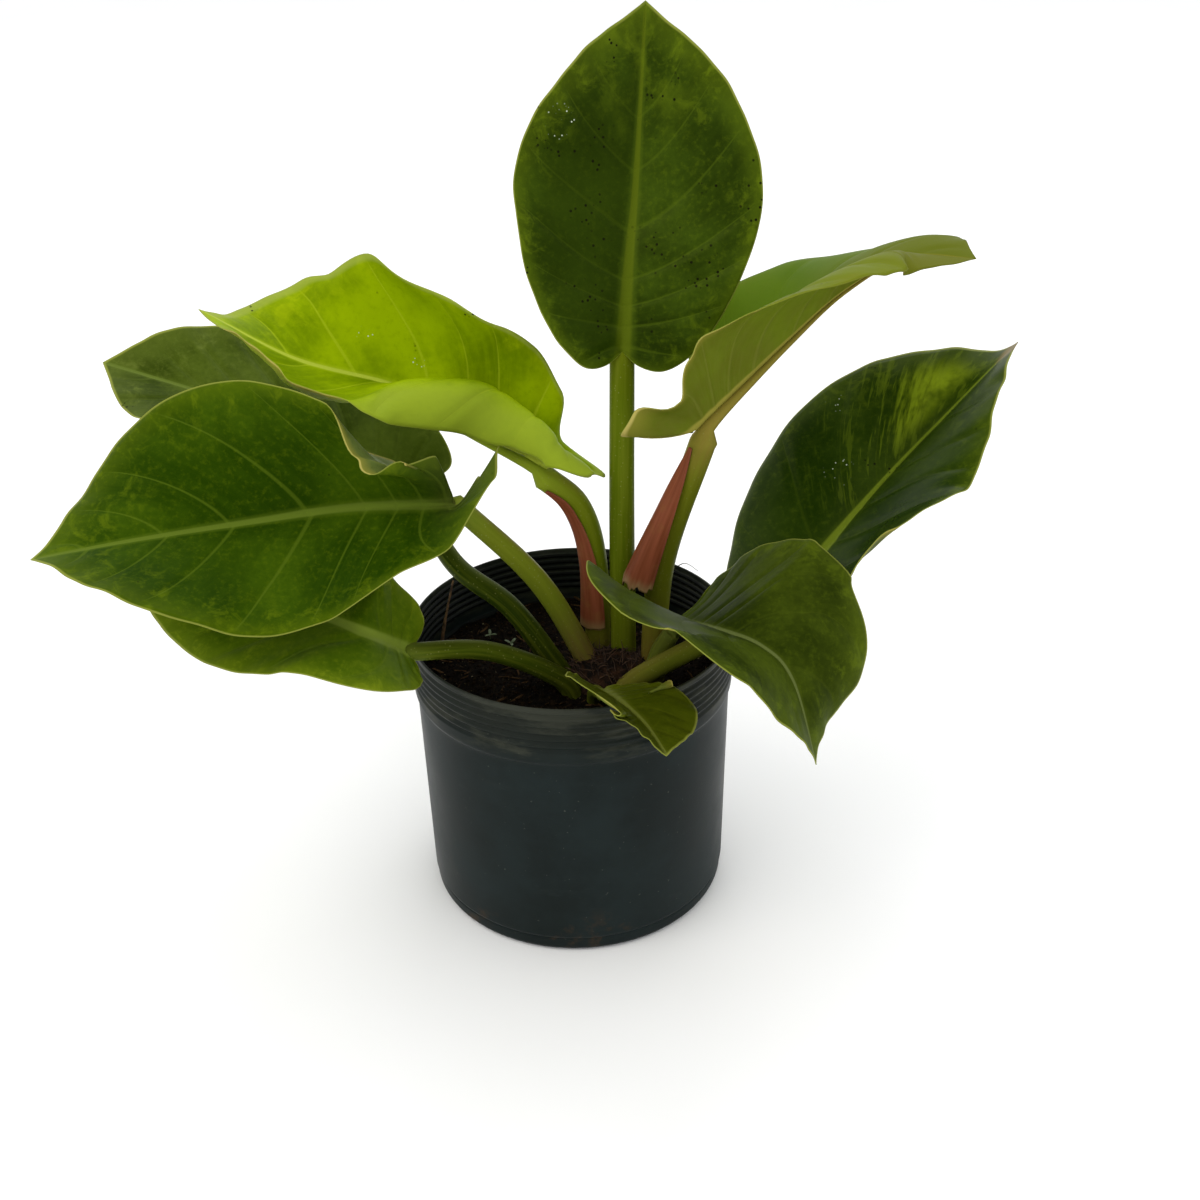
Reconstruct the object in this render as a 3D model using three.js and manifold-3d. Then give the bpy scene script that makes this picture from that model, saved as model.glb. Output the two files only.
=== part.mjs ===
// A self-heading philodendron in a round nursery pot.
// Millimetres, +Z up. The origin is the centre of the pot's base, on the surface that it stands on.

import * as THREE from 'three';
import { mergeVertices } from 'three/addons/utils/BufferGeometryUtils.js';
import Module from 'manifold-3d';

const wasm = await Module();
wasm.setup();

// ---------- driving dimensions ----------

const GAP = 0.35; // clearance between pieces that touch
const MERGE_LENGTH = 0.05; // edges shorter than this are merged where two forms join

// pot
const POT_HEIGHT = 205;
const RIM_RADIUS = 111.5;
const BASE_RADIUS = 107;
const WALL = 1.7;
const FLOOR = 2.2;
const CORNER_RADIUS = 5;
const CORNER_STEPS = 3;
const FOOT_INSET = 1; // the foot is this much narrower than the wall above its groove
const FOOT_GROOVE_HEIGHT = 12; // moulded line a little above the base
const FOOT_GROOVE_DEPTH = 0.8;
const FOOT_GROOVE_REACH = 1.5; // from its deepest line to its edges
const BAND_BOTTOM = 163; // step where the wider upper band begins
const BAND_STEP = 1.4;
const BAND_STEP_HEIGHT = 2;
const WALL_DRAFT = 0.4; // the wall under the band stays this much inside it
const RIB_COUNT = 6;
const RIB_PITCH = 5.2;
const RIB_DEPTH = 1.5;
const RIM_LIP_HEIGHT = 3;
const POT_SEGMENTS = 36;
const DRAIN_COUNT = 8;
const DRAIN_RADIUS = 7;
const DRAIN_CIRCLE = 80;
const DRAIN_SIDES = 12;

// soil and stem
const SOIL_TOP = 162;
const SOIL_BUMP = 1.6;
const SOIL_WAVES = { across: 0.09, shift: 1.3, along: 0.11, slantX: 0.17, slantY: 0.13, share: 0.6 };
const SOIL_MOUND = 5; // how much higher the soil lies round the stem
const SOIL_MOUND_REACH = 51; // distance over which the mound falls away
const SOIL_RINGS = 7;
const SOIL_WALL_GAP = 0.65;
const SOIL_FLOOR_INSET = 1;
const STEM_CENTRE = new THREE.Vector2(26, -7);
const STEM_RADIUS = 31;
const STEM_TOP = 181;
const STEM_FOOT = 146;
const STEM_SHOULDERS = [[1, SOIL_TOP], [0.9, 171], [0.62, 178]]; // [share of the radius, height]
const STEM_FOOT_SHARE = 0.9;
const STEM_SEGMENTS = 20;

// leaves
const BLADE_THICKNESS = 1.1;
const BLADE_ROWS = 15; // steps along the blade's margin
const BLADE_COLUMNS = 3; // steps from the midrib to the margin, on each side
const OUTLINE_WIDTH_WEIGHT = 0.62; // how much a step sideways counts in the outline's length
const RIB_POWER = 2.2; // how the side veins leave the midrib: close together at the base
const SWEEP_POWER = 1.25; // how they bend forward on their way to the margin
const FLAT_CURL = 1e-4; // a half that doesn't curl
const PULL_POWER = 2; // how a pull on the margin dies away towards the midrib
const STALK_SIDES = 8;
const PETIOLE_STEPS = 9;
const KEEL_FIRST_ROW = 4; // the keel bends where the blade's rows do
const KEEL_LAST_ROW = 14;
const KEEL_TIP_RADIUS = 0.9;
const KEEL_POWER = 0.2; // how fast the keel thins out at first
const STALK_SINK = 0.33; // the stalk's top lies this far below the blade's upper side

// Half of the blade's outline from the notch at the petiole round to the tip.
// x in half widths, y in blade lengths; the lobe lies behind the petiole, at y below 0.
const HALF_OUTLINE = [
  [0, 0], [0.14, -0.045], [0.33, -0.055], [0.53, 0], [0.72, 0.1], [0.9, 0.26], [1, 0.44],
  [0.96, 0.6], [0.78, 0.75], [0.48, 0.875], [0.17, 0.955], [0, 1],
];

// Each leaf as it grew. Left and right are seen from above, looking towards the tip.
//   petiole    foot of the petiole and the points that it passes on its way to the blade
//   midrib     from the blade's base to its tip
//   face       direction that the upper side looks in, from base to tip
//   halfWidth  [left, right]
//   fold       angle of each side up from flat, in degrees from base to tip, for [left, right]
//   curl       extra turn of each side by its margin, in the same form
//   pull       where the margin strays from that form: [place on it, [x, y, z]], for [left, right]
//   lobe       size of the [left, right] lobe, 1 as in the outline above
//   radius     petiole radius at [foot, blade]
const LEAVES = {
  leaf_back_upright: {
    petiole: [[36, 13, 158], [36, 17, 270]],
    midrib: [[38, 33, 388], [43, 54, 440], [49, 76, 492], [56, 92, 595]],
    face: [[0, -0.96, 0.28], [0, -0.9, 0.43]],
    halfWidth: [80, 84],
    fold: [[20, 16, 30], [5, 16, 25]],
    curl: [[10, 0, 20], [0, 5, 15]],
    lobe: [1, 0.9],
    radius: [9, 8.3],
    colour: '#3d5a1c',
  },
  leaf_right_folded: {
    petiole: [[56, 6, 158], [63, 2, 250]],
    midrib: [[84, -8, 350], [146, 33, 394], [185, 57, 419], [225, 66, 437], [266, 44, 442]],
    face: [[-0.6, 0.14, 0.78], [-0.48, 0.03, 0.88]],
    halfWidth: [86, 86],
    fold: [[10, 10, 10], [52, 55, 15]],
    curl: [[-20, 20, -135], [10, -80, -55]],
    lobe: [0.6, 3.8],
    pull: [
      [[0, [0, 0, 0]], [0.07, [9, 1, 1]], [0.13, [14, 2, 3]], [0.2, [16, 3, 6]], [0.33, [6, 0, 1]],
        [0.4, [0, 0, 0]]],
      [[0, [0, 0, 0]], [0.07, [-9, 8, 15]], [0.13, [1, 10, 18]], [0.2, [4, -6, -10]], [0.27, [-2, -3, -5]],
        [0.33, [-9, -2, -3]], [0.47, [0, 0, 0]]],
    ],
    radius: [9, 8.8],
    colour: '#6f8a2e',
  },
  leaf_right_broad: {
    petiole: [[27, -29, 156], [46, -32, 178], [84, -38, 205], [108, -40, 220]],
    midrib: [[136, -42, 234], [177, 8, 257], [224, 49, 290], [265, 67, 327], [309, 76, 374]],
    face: [[-0.6, -0.46, 0.65], [-0.72, -0.26, 0.64]],
    halfWidth: [85, 84],
    fold: [[-20, 48, -35], [-30, 22, 28]],
    curl: [[0, -45, 70], [150, -15, -30]],
    lobe: [0.5, 0.3],
    radius: [8, 6.5],
    colour: '#3f6120',
  },
  leaf_front_right: {
    petiole: [[55, -14, 156], [60, -14, 185]],
    midrib: [[69, -16, 212], [94, -85, 245], [118, -116, 251], [135, -134, 238], [148, -163, 196]],
    face: [[0, -0.13, 0.99], [0.16, -0.2, 0.97], [0.89, -0.28, 0.36]],
    halfWidth: [85, 98],
    fold: [[12, 32, -10], [30, 26, 16]],
    curl: [[65, -10, -10], [37, 5, -20]],
    lobe: [0.2, 1],
    radius: [8, 6],
    colour: '#3c5420',
  },
  leaf_front_small: {
    petiole: [[14, -35, 156], [15, -52, 180]],
    midrib: [[20, -92, 207], [32, -120, 215], [46, -134, 208], [58, -162, 204]],
    face: [[0.14, 0.13, 0.98], [0, -0.13, 0.99]],
    halfWidth: [39, 41],
    fold: [[8, 5, 0], [26, 34, 46]],
    curl: [[5, 0, 0], [10, 5, 18]],
    lobe: [0.9, 1],
    radius: [5, 3.5],
    colour: '#3a5220',
  },
  leaf_left_young: {
    petiole: [[18, 25, 158], [17, 23, 237], [7, 19, 283]],
    midrib: [[-13, 14, 315], [-71, 32, 340], [-114, 48, 361], [-180, 48, 383], [-236, 42, 420]],
    face: [[-0.05, -0.1, 0.99], [0, 0.1, 0.99]],
    halfWidth: [105, 87],
    fold: [[125, 134, 18, -14, -6], [17, 44, -10]],
    curl: [[-370, -240, -10, 62, 50], [12, 90, -15]],
    lobe: [1.8, 0],
    pull: [
      [[0, [0, 0, 0]], [0.07, [2, -3, -5]], [0.13, [3, -3, -6]], [0.2, [5, 2, 3]], [0.27, [2, 0, 1]],
        [0.33, [1, -2, -4]], [0.47, [13, -1, -2]], [0.53, [0, 0, 0]]],
      [[0, [0, 0, 0]], [0.07, [22, -9, -15]], [0.13, [25, -14, -25]], [0.2, [-11, -7, -12]],
        [0.27, [1, -4, -7]], [0.33, [0, 0, 0]], [0.47, [0, 0, 0]], [0.53, [0, -3, -5]],
        [0.6, [2, 1, 2]], [0.67, [0, -3, -5]], [0.73, [0, 0, 0]]],
    ],
    radius: [9, 8.5],
    colour: '#8aa51e',
  },
  leaf_left_large: {
    petiole: [[16, 5, 158], [-20, -9, 240]],
    midrib: [[-71, -36, 314], [-138, -32, 311], [-200, -44, 308], [-266, -66, 308], [-328, -84, 305]],
    face: [[-0.15, -0.84, 0.52], [-0.05, -0.65, 0.76]],
    halfWidth: [88, 90],
    fold: [[40, 18, 45], [50, 28, -35]],
    curl: [[22, 5, 15], [28, 5, 0]],
    lobe: [0.8, 0],
    pull: [
      [[0, [0, 0, 0]], [0.07, [7, 13, 24]], [0.13, [21, 27, 48]], [0.2, [31, 21, 38]], [0.27, [24, 7, 13]],
        [0.33, [17, 6, 10]], [0.4, [0, 0, 0]]],
      [[0, [0, 0, 0]], [0.07, [-3, 2, 4]], [0.13, [-6, 4, 7]], [0.2, [-24, -3, -5]], [0.27, [-22, -10, -18]],
        [0.33, [-7, -9, -17]], [0.4, [0, 0, 0]]],
    ],
    radius: [8.2, 6.8],
    colour: '#46641e',
  },
  leaf_left_rear: {
    petiole: [[-2, -6, 156], [-40, 0, 215], [-82, 26, 240]],
    midrib: [[-110, 72, 282], [-169, 86, 309], [-233, 101, 330], [-333, 125, 355]],
    face: [[0, -0.1, 1], [0, -0.47, 0.88]],
    halfWidth: [73, 76],
    fold: [[43, 23, 10], [34, 4, 22]],
    curl: [[10, 10, 5], [10, 0, 5]],
    lobe: [1.6, 1.3],
    radius: [8, 6.5],
    colour: '#3a5628',
  },
  leaf_left_low: {
    petiole: [[3, -25, 154], [-10, -29, 178], [-56, -44, 209]],
    midrib: [[-107, -57, 218], [-130, -78, 245], [-172, -65, 255], [-284, -48, 278]],
    face: [[0.15, -0.65, 0.75], [-0.05, -0.85, 0.52]],
    halfWidth: [54, 60],
    fold: [[23, 18, -15], [12, -25, -10]],
    curl: [[15, 10, 0], [5, 0, 5]],
    lobe: [0.7, 0.7],
    radius: [7.5, 6],
    colour: '#3c5a22',
  },
};

// Dry or fleshy scale leaves that wrap one side of a petiole.
//   beside   the leaf whose petiole it hugs
//   from, to share of the petiole's length
//   toward   the side of the petiole that it covers
//   span     angle that it wraps at its foot, in degrees
//   flare    how much wider than the petiole its foot is
//   lean     how far its foot stands off to that side
//   room     between it and the petiole all the way up
const SHEATHS = {
  sheath_right: {
    beside: 'leaf_right_folded', from: 0.42, to: 0.97,
    toward: [-0.8, -0.6, 0], span: 160, flare: 3, lean: 15, room: 0.12,
  },
  sheath_left: {
    beside: 'leaf_left_young', from: 0.2, to: 0.97,
    toward: [-0.7, -0.65, 0.3], span: 150, flare: 1, lean: 0, room: 1,
  },
};
const SHEATH_THICKNESS = 1.3;
const SHEATH_ROWS = 9;
const SHEATH_COLUMNS = 5;
const SHEATH_TIP_SPAN = 14;
const SHEATH_TAPER_POWER = 1.5; // stays wide low down and narrows towards its tip
const SHEATH_FLARE_POWER = 3; // only its foot is wider
const SHEATH_LEAN_POWER = 1.6; // it closes in on the petiole on its way up

// A dry twig that stands in the soil and leans on the pot's wall.
const TWIG_FOOT = [-97, 18, 153];
const TWIG_TOP = [-85, 46, 214];
const TWIG_RADIUS = 1.4;
const TWIG_TAPER = 0.8;
const TWIG_SIDES = 6;

// ---------- small helpers ----------

const vec = (p) => new THREE.Vector3(...p);
const rad = THREE.MathUtils.degToRad;

// A value given at equal steps from the base to the tip, on the smooth line through all of them.
function alongBlade(values, y) {
  const place = THREE.MathUtils.clamp(y, 0, 1) * (values.length - 1);
  const factor = (i, j) => (j === i ? 1 : (place - j) / (i - j));
  const weight = (i) => values.reduce((product, _, j) => product * factor(i, j), 1);
  return values.reduce((sum, value, i) => sum + value * weight(i), 0);
}

// How far the margin is drawn away at t, eased between the places where that is given.
function pullAt(pull, t) {
  const next = pull.findIndex(([place]) => place > t);
  if (next < 1) return new THREE.Vector3();
  const [before, start] = pull[next - 1];
  const [after, end] = pull[next];
  return vec(start).lerp(vec(end), THREE.MathUtils.smoothstep(t, before, after));
}

function smoothCurve(points) {
  return new THREE.CatmullRomCurve3(points.map(vec), false, 'catmullrom', 0.5);
}

function geometryFrom(positions, indices) {
  const geometry = new THREE.BufferGeometry();
  geometry.setAttribute('position', new THREE.Float32BufferAttribute(positions, 3));
  geometry.setIndex(indices);
  return geometry;
}

function toSolid(geometry) {
  const bare = geometry.clone();
  bare.deleteAttribute('normal');
  bare.deleteAttribute('uv');
  const merged = mergeVertices(bare, 1e-4);
  return new wasm.Manifold(new wasm.Mesh({
    numProp: 3,
    vertProperties: new Float32Array(merged.attributes.position.array),
    triVerts: new Uint32Array(merged.index.array),
  }));
}

function toGeometry(solid) {
  const mesh = solid.getMesh();
  return geometryFrom(Array.from(mesh.vertProperties), Array.from(mesh.triVerts));
}

function namedMesh(name, solid, colour, roughness) {
  const material = new THREE.MeshStandardMaterial({ color: colour, roughness, metalness: 0 });
  const mesh = new THREE.Mesh(toGeometry(solid), material);
  mesh.name = name;
  return mesh;
}

// A closed skin over a lattice of front points and back points, row by row. Front and back cells
// are split along the same diagonal, so that a twisted cell keeps its thickness.
// The first and the last row may shrink to a point.
function closedSheet(front, back) {
  const rows = front.length;
  const columns = front[0].length;
  const count = rows * columns;
  const positions = [...front.flat(), ...back.flat()].flatMap((p) => [p.x, p.y, p.z]);
  const indices = [];
  const at = (i, j) => i * columns + j;
  const quad = (a, b, c, d) => indices.push(a, b, c, a, c, d);
  for (let i = 0; i < rows - 1; i++) {
    for (let j = 0; j < columns - 1; j++) {
      quad(at(i, j), at(i, j + 1), at(i + 1, j + 1), at(i + 1, j));
      quad(count + at(i, j), count + at(i + 1, j), count + at(i + 1, j + 1), count + at(i, j + 1));
    }
    quad(at(i + 1, 0), count + at(i + 1, 0), count + at(i, 0), at(i, 0));
    const last = columns - 1;
    quad(at(i, last), count + at(i, last), count + at(i + 1, last), at(i + 1, last));
  }
  for (let j = 0; j < columns - 1; j++) {
    quad(at(0, j), count + at(0, j), count + at(0, j + 1), at(0, j + 1));
    const end = rows - 1;
    quad(at(end, j + 1), count + at(end, j + 1), count + at(end, j), at(end, j));
  }
  return withoutSlivers(geometryFrom(positions, indices));
}

// Drops the triangles that lose an edge where a row has shrunk to a point.
function withoutSlivers(geometry) {
  const merged = mergeVertices(geometry, 1e-4);
  const old = merged.index.array;
  const kept = [];
  for (let i = 0; i < old.length; i += 3) {
    const [a, b, c] = [old[i], old[i + 1], old[i + 2]];
    if (a !== b && b !== c && c !== a) kept.push(a, b, c);
  }
  merged.setIndex(kept);
  return merged;
}

// A closed tube through centres, with a radius at each and flat ends.
function tube(centres, radii, sides) {
  const rings = centres.length;
  const positions = [];
  const indices = [];
  let side = null;
  for (let i = 0; i < rings; i++) {
    const before = centres[Math.max(i - 1, 0)];
    const after = centres[Math.min(i + 1, rings - 1)];
    const tangent = after.clone().sub(before).normalize();
    side = side ?? new THREE.Vector3(1, 0, 0);
    side = side.clone().addScaledVector(tangent, -side.dot(tangent)).normalize();
    const up = tangent.clone().cross(side);
    for (let k = 0; k < sides; k++) {
      const angle = (2 * Math.PI * k) / sides;
      const p = centres[i].clone();
      p.addScaledVector(side, radii[i] * Math.cos(angle));
      p.addScaledVector(up, radii[i] * Math.sin(angle));
      positions.push(p.x, p.y, p.z);
    }
  }
  for (let i = 0; i < rings - 1; i++) {
    for (let k = 0; k < sides; k++) {
      const a = i * sides + k;
      const b = i * sides + ((k + 1) % sides);
      indices.push(a, b, b + sides, a, b + sides, a + sides);
    }
  }
  const lastRing = (rings - 1) * sides;
  for (let k = 1; k < sides - 1; k++) {
    indices.push(0, k + 1, k);
    indices.push(lastRing, lastRing + k, lastRing + k + 1);
  }
  return geometryFrom(positions, indices);
}

// ---------- leaves ----------

const outlineCurve = new THREE.CatmullRomCurve3(
  HALF_OUTLINE.map(([x, y]) => new THREE.Vector3(x * OUTLINE_WIDTH_WEIGHT, y, 0)), false, 'catmullrom', 0.5,
);

function outlineAt(t) {
  const p = outlineCurve.getPointAt(t);
  return { x: p.x / OUTLINE_WIDTH_WEIGHT, y: p.y };
}

// Where on the midrib the side vein starts that ends at t on the margin.
function ribPlace(t) {
  return t ** RIB_POWER;
}

// The blade's own directions at y: along the midrib, out of the upper side, and to the right.
function bladeFrame(leaf, curve, y) {
  const u = THREE.MathUtils.clamp(y, 0, 1);
  const along = curve.getTangentAt(u);
  const origin = curve.getPointAt(u).addScaledVector(along, (y - u) * curve.getLength());
  const place = u * (leaf.face.length - 1);
  const k = Math.min(Math.floor(place), leaf.face.length - 2);
  const up = vec(leaf.face[k]).lerp(vec(leaf.face[k + 1]), place - k);
  up.addScaledVector(along, -up.dot(along)).normalize();
  return { origin, along, up, right: along.clone().cross(up) };
}

// A point of the blade's middle surface: t runs round the margin, v from the midrib to the margin.
function bladePoint(leaf, curve, side, t, v) {
  const k = side < 0 ? 0 : 1;
  const edge = outlineAt(t);
  const edgeY = edge.y < 0 ? edge.y * leaf.lobe[k] : edge.y;
  const ribY = ribPlace(t);
  const y = ribY + (edgeY - ribY) * v ** SWEEP_POWER;
  const x = edge.x * v;
  const frame = bladeFrame(leaf, curve, y);
  const fold = rad(alongBlade(leaf.fold[k], y));
  const curl = rad(alongBlade(leaf.curl[k], y)) || FLAT_CURL;
  const across = (leaf.halfWidth[k] * (Math.sin(fold + curl * x) - Math.sin(fold))) / curl;
  const lift = (leaf.halfWidth[k] * (Math.cos(fold) - Math.cos(fold + curl * x))) / curl;
  const point = frame.origin.addScaledVector(frame.right, side * across).addScaledVector(frame.up, lift);
  return leaf.pull ? point.addScaledVector(pullAt(leaf.pull[k], t), v ** PULL_POWER) : point;
}

function bladeSolid(leaf, curve) {
  const middle = [];
  for (let i = 0; i <= BLADE_ROWS; i++) {
    const t = i / BLADE_ROWS;
    const row = [];
    for (let j = -BLADE_COLUMNS; j <= BLADE_COLUMNS; j++) {
      row.push(bladePoint(leaf, curve, Math.sign(j) || 1, t, Math.abs(j) / BLADE_COLUMNS));
    }
    middle.push(row);
  }
  const normals = sheetNormals(middle);
  const shift = (amount) => middle.map((row, i) => row.map(
    (p, j) => p.clone().addScaledVector(normals[i][j], amount)));
  const half = BLADE_THICKNESS / 2;
  return toSolid(closedSheet(shift(half), shift(-half)));
}

// The mean normal of the lattice's cells round each of its points, on the upper side.
function sheetNormals(grid) {
  const rows = grid.length;
  const columns = grid[0].length;
  const normals = grid.map((row) => row.map(() => new THREE.Vector3()));
  for (let i = 0; i < rows - 1; i++) {
    for (let j = 0; j < columns - 1; j++) {
      const diagonal = grid[i + 1][j + 1].clone().sub(grid[i][j]);
      const other = grid[i + 1][j].clone().sub(grid[i][j + 1]);
      const normal = other.cross(diagonal).negate().normalize();
      for (const [a, b] of [[i, j], [i, j + 1], [i + 1, j], [i + 1, j + 1]]) normals[a][b].add(normal);
    }
  }
  for (const end of [0, rows - 1]) {
    const mean = normals[end].reduce((sum, n) => sum.add(n), new THREE.Vector3()).normalize();
    normals[end].forEach((n) => n.copy(mean));
  }
  return normals.map((row) => row.map((n) => n.normalize()));
}

// The petiole's centre line ends under the blade's base, so that its top is flush with the midrib.
function petioleCurve(leaf) {
  const curve = smoothCurve(leaf.midrib);
  const base = bladeFrame(leaf, curve, 0);
  base.origin.addScaledVector(base.up, BLADE_THICKNESS / 2 - STALK_SINK - leaf.radius[1]);
  return smoothCurve([...leaf.petiole, base.origin.toArray()]);
}

function petioleRadius(leaf, share) {
  return THREE.MathUtils.lerp(leaf.radius[0], leaf.radius[1], share);
}

function stalkSolid(leaf, curve) {
  const petiole = petioleCurve(leaf);
  const centres = [];
  const radii = [];
  for (let i = 0; i < PETIOLE_STEPS; i++) {
    centres.push(petiole.getPointAt(i / PETIOLE_STEPS));
    radii.push(petioleRadius(leaf, i / PETIOLE_STEPS));
  }
  const keelEnd = ribPlace(KEEL_LAST_ROW / BLADE_ROWS);
  for (let i = 0; i <= KEEL_LAST_ROW; i++) {
    if (i > 0 && i < KEEL_FIRST_ROW) continue;
    const y = ribPlace(i / BLADE_ROWS);
    const radius = THREE.MathUtils.lerp(leaf.radius[1], KEEL_TIP_RADIUS, (y / keelEnd) ** KEEL_POWER);
    const frame = bladeFrame(leaf, curve, y);
    centres.push(frame.origin.addScaledVector(frame.up, BLADE_THICKNESS / 2 - STALK_SINK - radius));
    radii.push(radius);
  }
  return toSolid(tube(centres, radii, STALK_SIDES));
}

function leafSolid(leaf) {
  const curve = smoothCurve(leaf.midrib);
  return bladeSolid(leaf, curve).add(stalkSolid(leaf, curve)).simplify(MERGE_LENGTH);
}

// What a petiole takes out of the soil and the stem that it stands in.
function petioleSocket(leaf) {
  const petiole = petioleCurve(leaf);
  const centres = [];
  const radii = [];
  for (let i = 0; i < PETIOLE_STEPS; i++) {
    centres.push(petiole.getPointAt(i / PETIOLE_STEPS));
    radii.push(petioleRadius(leaf, i / PETIOLE_STEPS) + GAP);
  }
  const start = petiole.getTangentAt(0);
  centres[0] = centres[0].addScaledVector(start, -GAP);
  return toSolid(tube(centres, radii, STALK_SIDES));
}

// ---------- sheaths and twig ----------

function sheathSolid({ beside, from, to, toward, span, flare, lean, room }) {
  const leaf = LEAVES[beside];
  const petiole = petioleCurve(leaf);
  const inner = [];
  const outer = [];
  for (let i = 0; i <= SHEATH_ROWS; i++) {
    const share = i / SHEATH_ROWS;
    const u = THREE.MathUtils.lerp(from, to, share);
    const centre = petiole.getPointAt(u);
    const along = petiole.getTangentAt(u);
    const out = vec(toward).addScaledVector(along, -vec(toward).dot(along)).normalize();
    const across = along.clone().cross(out);
    const fit = petioleRadius(leaf, u) + room;
    const wrap = rad(THREE.MathUtils.lerp(span, SHEATH_TIP_SPAN, share ** SHEATH_TAPER_POWER));
    const stand = fit + flare * (1 - share) ** SHEATH_FLARE_POWER;
    centre.addScaledVector(out, lean * (1 - share) ** SHEATH_LEAN_POWER);
    const innerRow = [];
    const outerRow = [];
    for (let j = 0; j <= SHEATH_COLUMNS; j++) {
      const angle = wrap * (j / SHEATH_COLUMNS - 0.5);
      const ray = out.clone().multiplyScalar(Math.cos(angle)).addScaledVector(across, Math.sin(angle));
      innerRow.push(centre.clone().addScaledVector(ray, stand));
      outerRow.push(centre.clone().addScaledVector(ray, stand + SHEATH_THICKNESS));
    }
    inner.push(innerRow);
    outer.push(outerRow);
  }
  return toSolid(closedSheet(outer, inner));
}

function twigTube(extra) {
  const foot = vec(TWIG_FOOT);
  const top = vec(TWIG_TOP);
  const start = foot.clone().addScaledVector(top.clone().sub(foot).normalize(), -extra);
  const radii = [TWIG_RADIUS + extra, TWIG_RADIUS * TWIG_TAPER + extra];
  return toSolid(tube([start, top], radii, TWIG_SIDES));
}

// ---------- stem, soil and pot ----------

function stemGeometry(extra) {
  const shoulders = STEM_SHOULDERS.map(([share, z]) => [STEM_RADIUS * share + extra, z + extra]);
  const profile = [
    [0, STEM_FOOT - extra], [STEM_RADIUS * STEM_FOOT_SHARE + extra, STEM_FOOT - extra],
    ...shoulders, [0, STEM_TOP + extra],
  ].map(([r, z]) => new THREE.Vector2(r, z));
  const geometry = new THREE.LatheGeometry(profile, STEM_SEGMENTS);
  geometry.rotateX(Math.PI / 2);
  geometry.translate(STEM_CENTRE.x, STEM_CENTRE.y, 0);
  return geometry;
}

function stemSolid() {
  let stem = toSolid(stemGeometry(0));
  for (const leaf of Object.values(LEAVES)) stem = stem.subtract(petioleSocket(leaf));
  return stem.simplify(MERGE_LENGTH);
}

// The wall's outer line from the base up. The inner line is this one moved in by the wall.
function potOutline() {
  const bodyTop = RIM_RADIUS - BAND_STEP - WALL_DRAFT;
  const footRadius = BASE_RADIUS - FOOT_INSET;
  const line = [];
  for (let i = 0; i <= CORNER_STEPS; i++) {
    const angle = (i / CORNER_STEPS) * (Math.PI / 2);
    const r = footRadius - CORNER_RADIUS * (1 - Math.sin(angle));
    line.push([r, CORNER_RADIUS * (1 - Math.cos(angle))]);
  }
  line.push([footRadius + FOOT_INSET / 2, FOOT_GROOVE_HEIGHT - FOOT_GROOVE_REACH]);
  line.push([BASE_RADIUS - FOOT_INSET / 2 - FOOT_GROOVE_DEPTH, FOOT_GROOVE_HEIGHT]);
  line.push([BASE_RADIUS, FOOT_GROOVE_HEIGHT + FOOT_GROOVE_REACH]);
  line.push([bodyTop, BAND_BOTTOM - BAND_STEP_HEIGHT]);
  line.push([bodyTop + BAND_STEP, BAND_BOTTOM]);
  const ribBottom = POT_HEIGHT - RIM_LIP_HEIGHT - RIB_COUNT * RIB_PITCH;
  for (let i = 0; i < RIB_COUNT; i++) {
    const z = ribBottom + i * RIB_PITCH;
    line.push([RIM_RADIUS, z]);
    line.push([RIM_RADIUS - RIB_DEPTH, z + RIB_PITCH / 2]);
  }
  line.push([RIM_RADIUS, POT_HEIGHT - RIM_LIP_HEIGHT]);
  line.push([RIM_RADIUS, POT_HEIGHT]);
  return line;
}

function lathe(points, segments) {
  const geometry = new THREE.LatheGeometry(points.map(([r, z]) => new THREE.Vector2(r, z)), segments);
  geometry.rotateX(Math.PI / 2);
  return geometry;
}

function potSolid() {
  const outer = potOutline();
  const inner = outer.filter(([, z]) => z > CORNER_RADIUS).map(([r, z]) => [r - WALL, z]).reverse();
  const floorEdge = [BASE_RADIUS - WALL - CORNER_RADIUS, FLOOR];
  let pot = toSolid(lathe([[0, 0], ...outer, ...inner, floorEdge, [0, FLOOR]], POT_SEGMENTS));
  for (let i = 0; i < DRAIN_COUNT; i++) {
    const angle = (2 * Math.PI * (i + 0.5)) / DRAIN_COUNT;
    const drain = new THREE.CylinderGeometry(DRAIN_RADIUS, DRAIN_RADIUS, 4 * FLOOR, DRAIN_SIDES);
    drain.rotateX(Math.PI / 2);
    drain.translate(DRAIN_CIRCLE * Math.cos(angle), DRAIN_CIRCLE * Math.sin(angle), 0);
    pot = pot.subtract(toSolid(drain));
  }
  return pot;
}

// The soil's surface rises and falls a little, and is a touch higher round the stem.
function soilHeight(x, y) {
  const { across, shift, along, slantX, slantY, share } = SOIL_WAVES;
  const slant = share * Math.sin(slantX * x - slantY * y);
  const waves = Math.sin(across * x + shift) * Math.cos(along * y) + slant;
  const away = Math.hypot(x - STEM_CENTRE.x, y - STEM_CENTRE.y) / SOIL_MOUND_REACH;
  return SOIL_TOP + SOIL_BUMP * waves + SOIL_MOUND * Math.exp(-(away ** 2));
}

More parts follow.
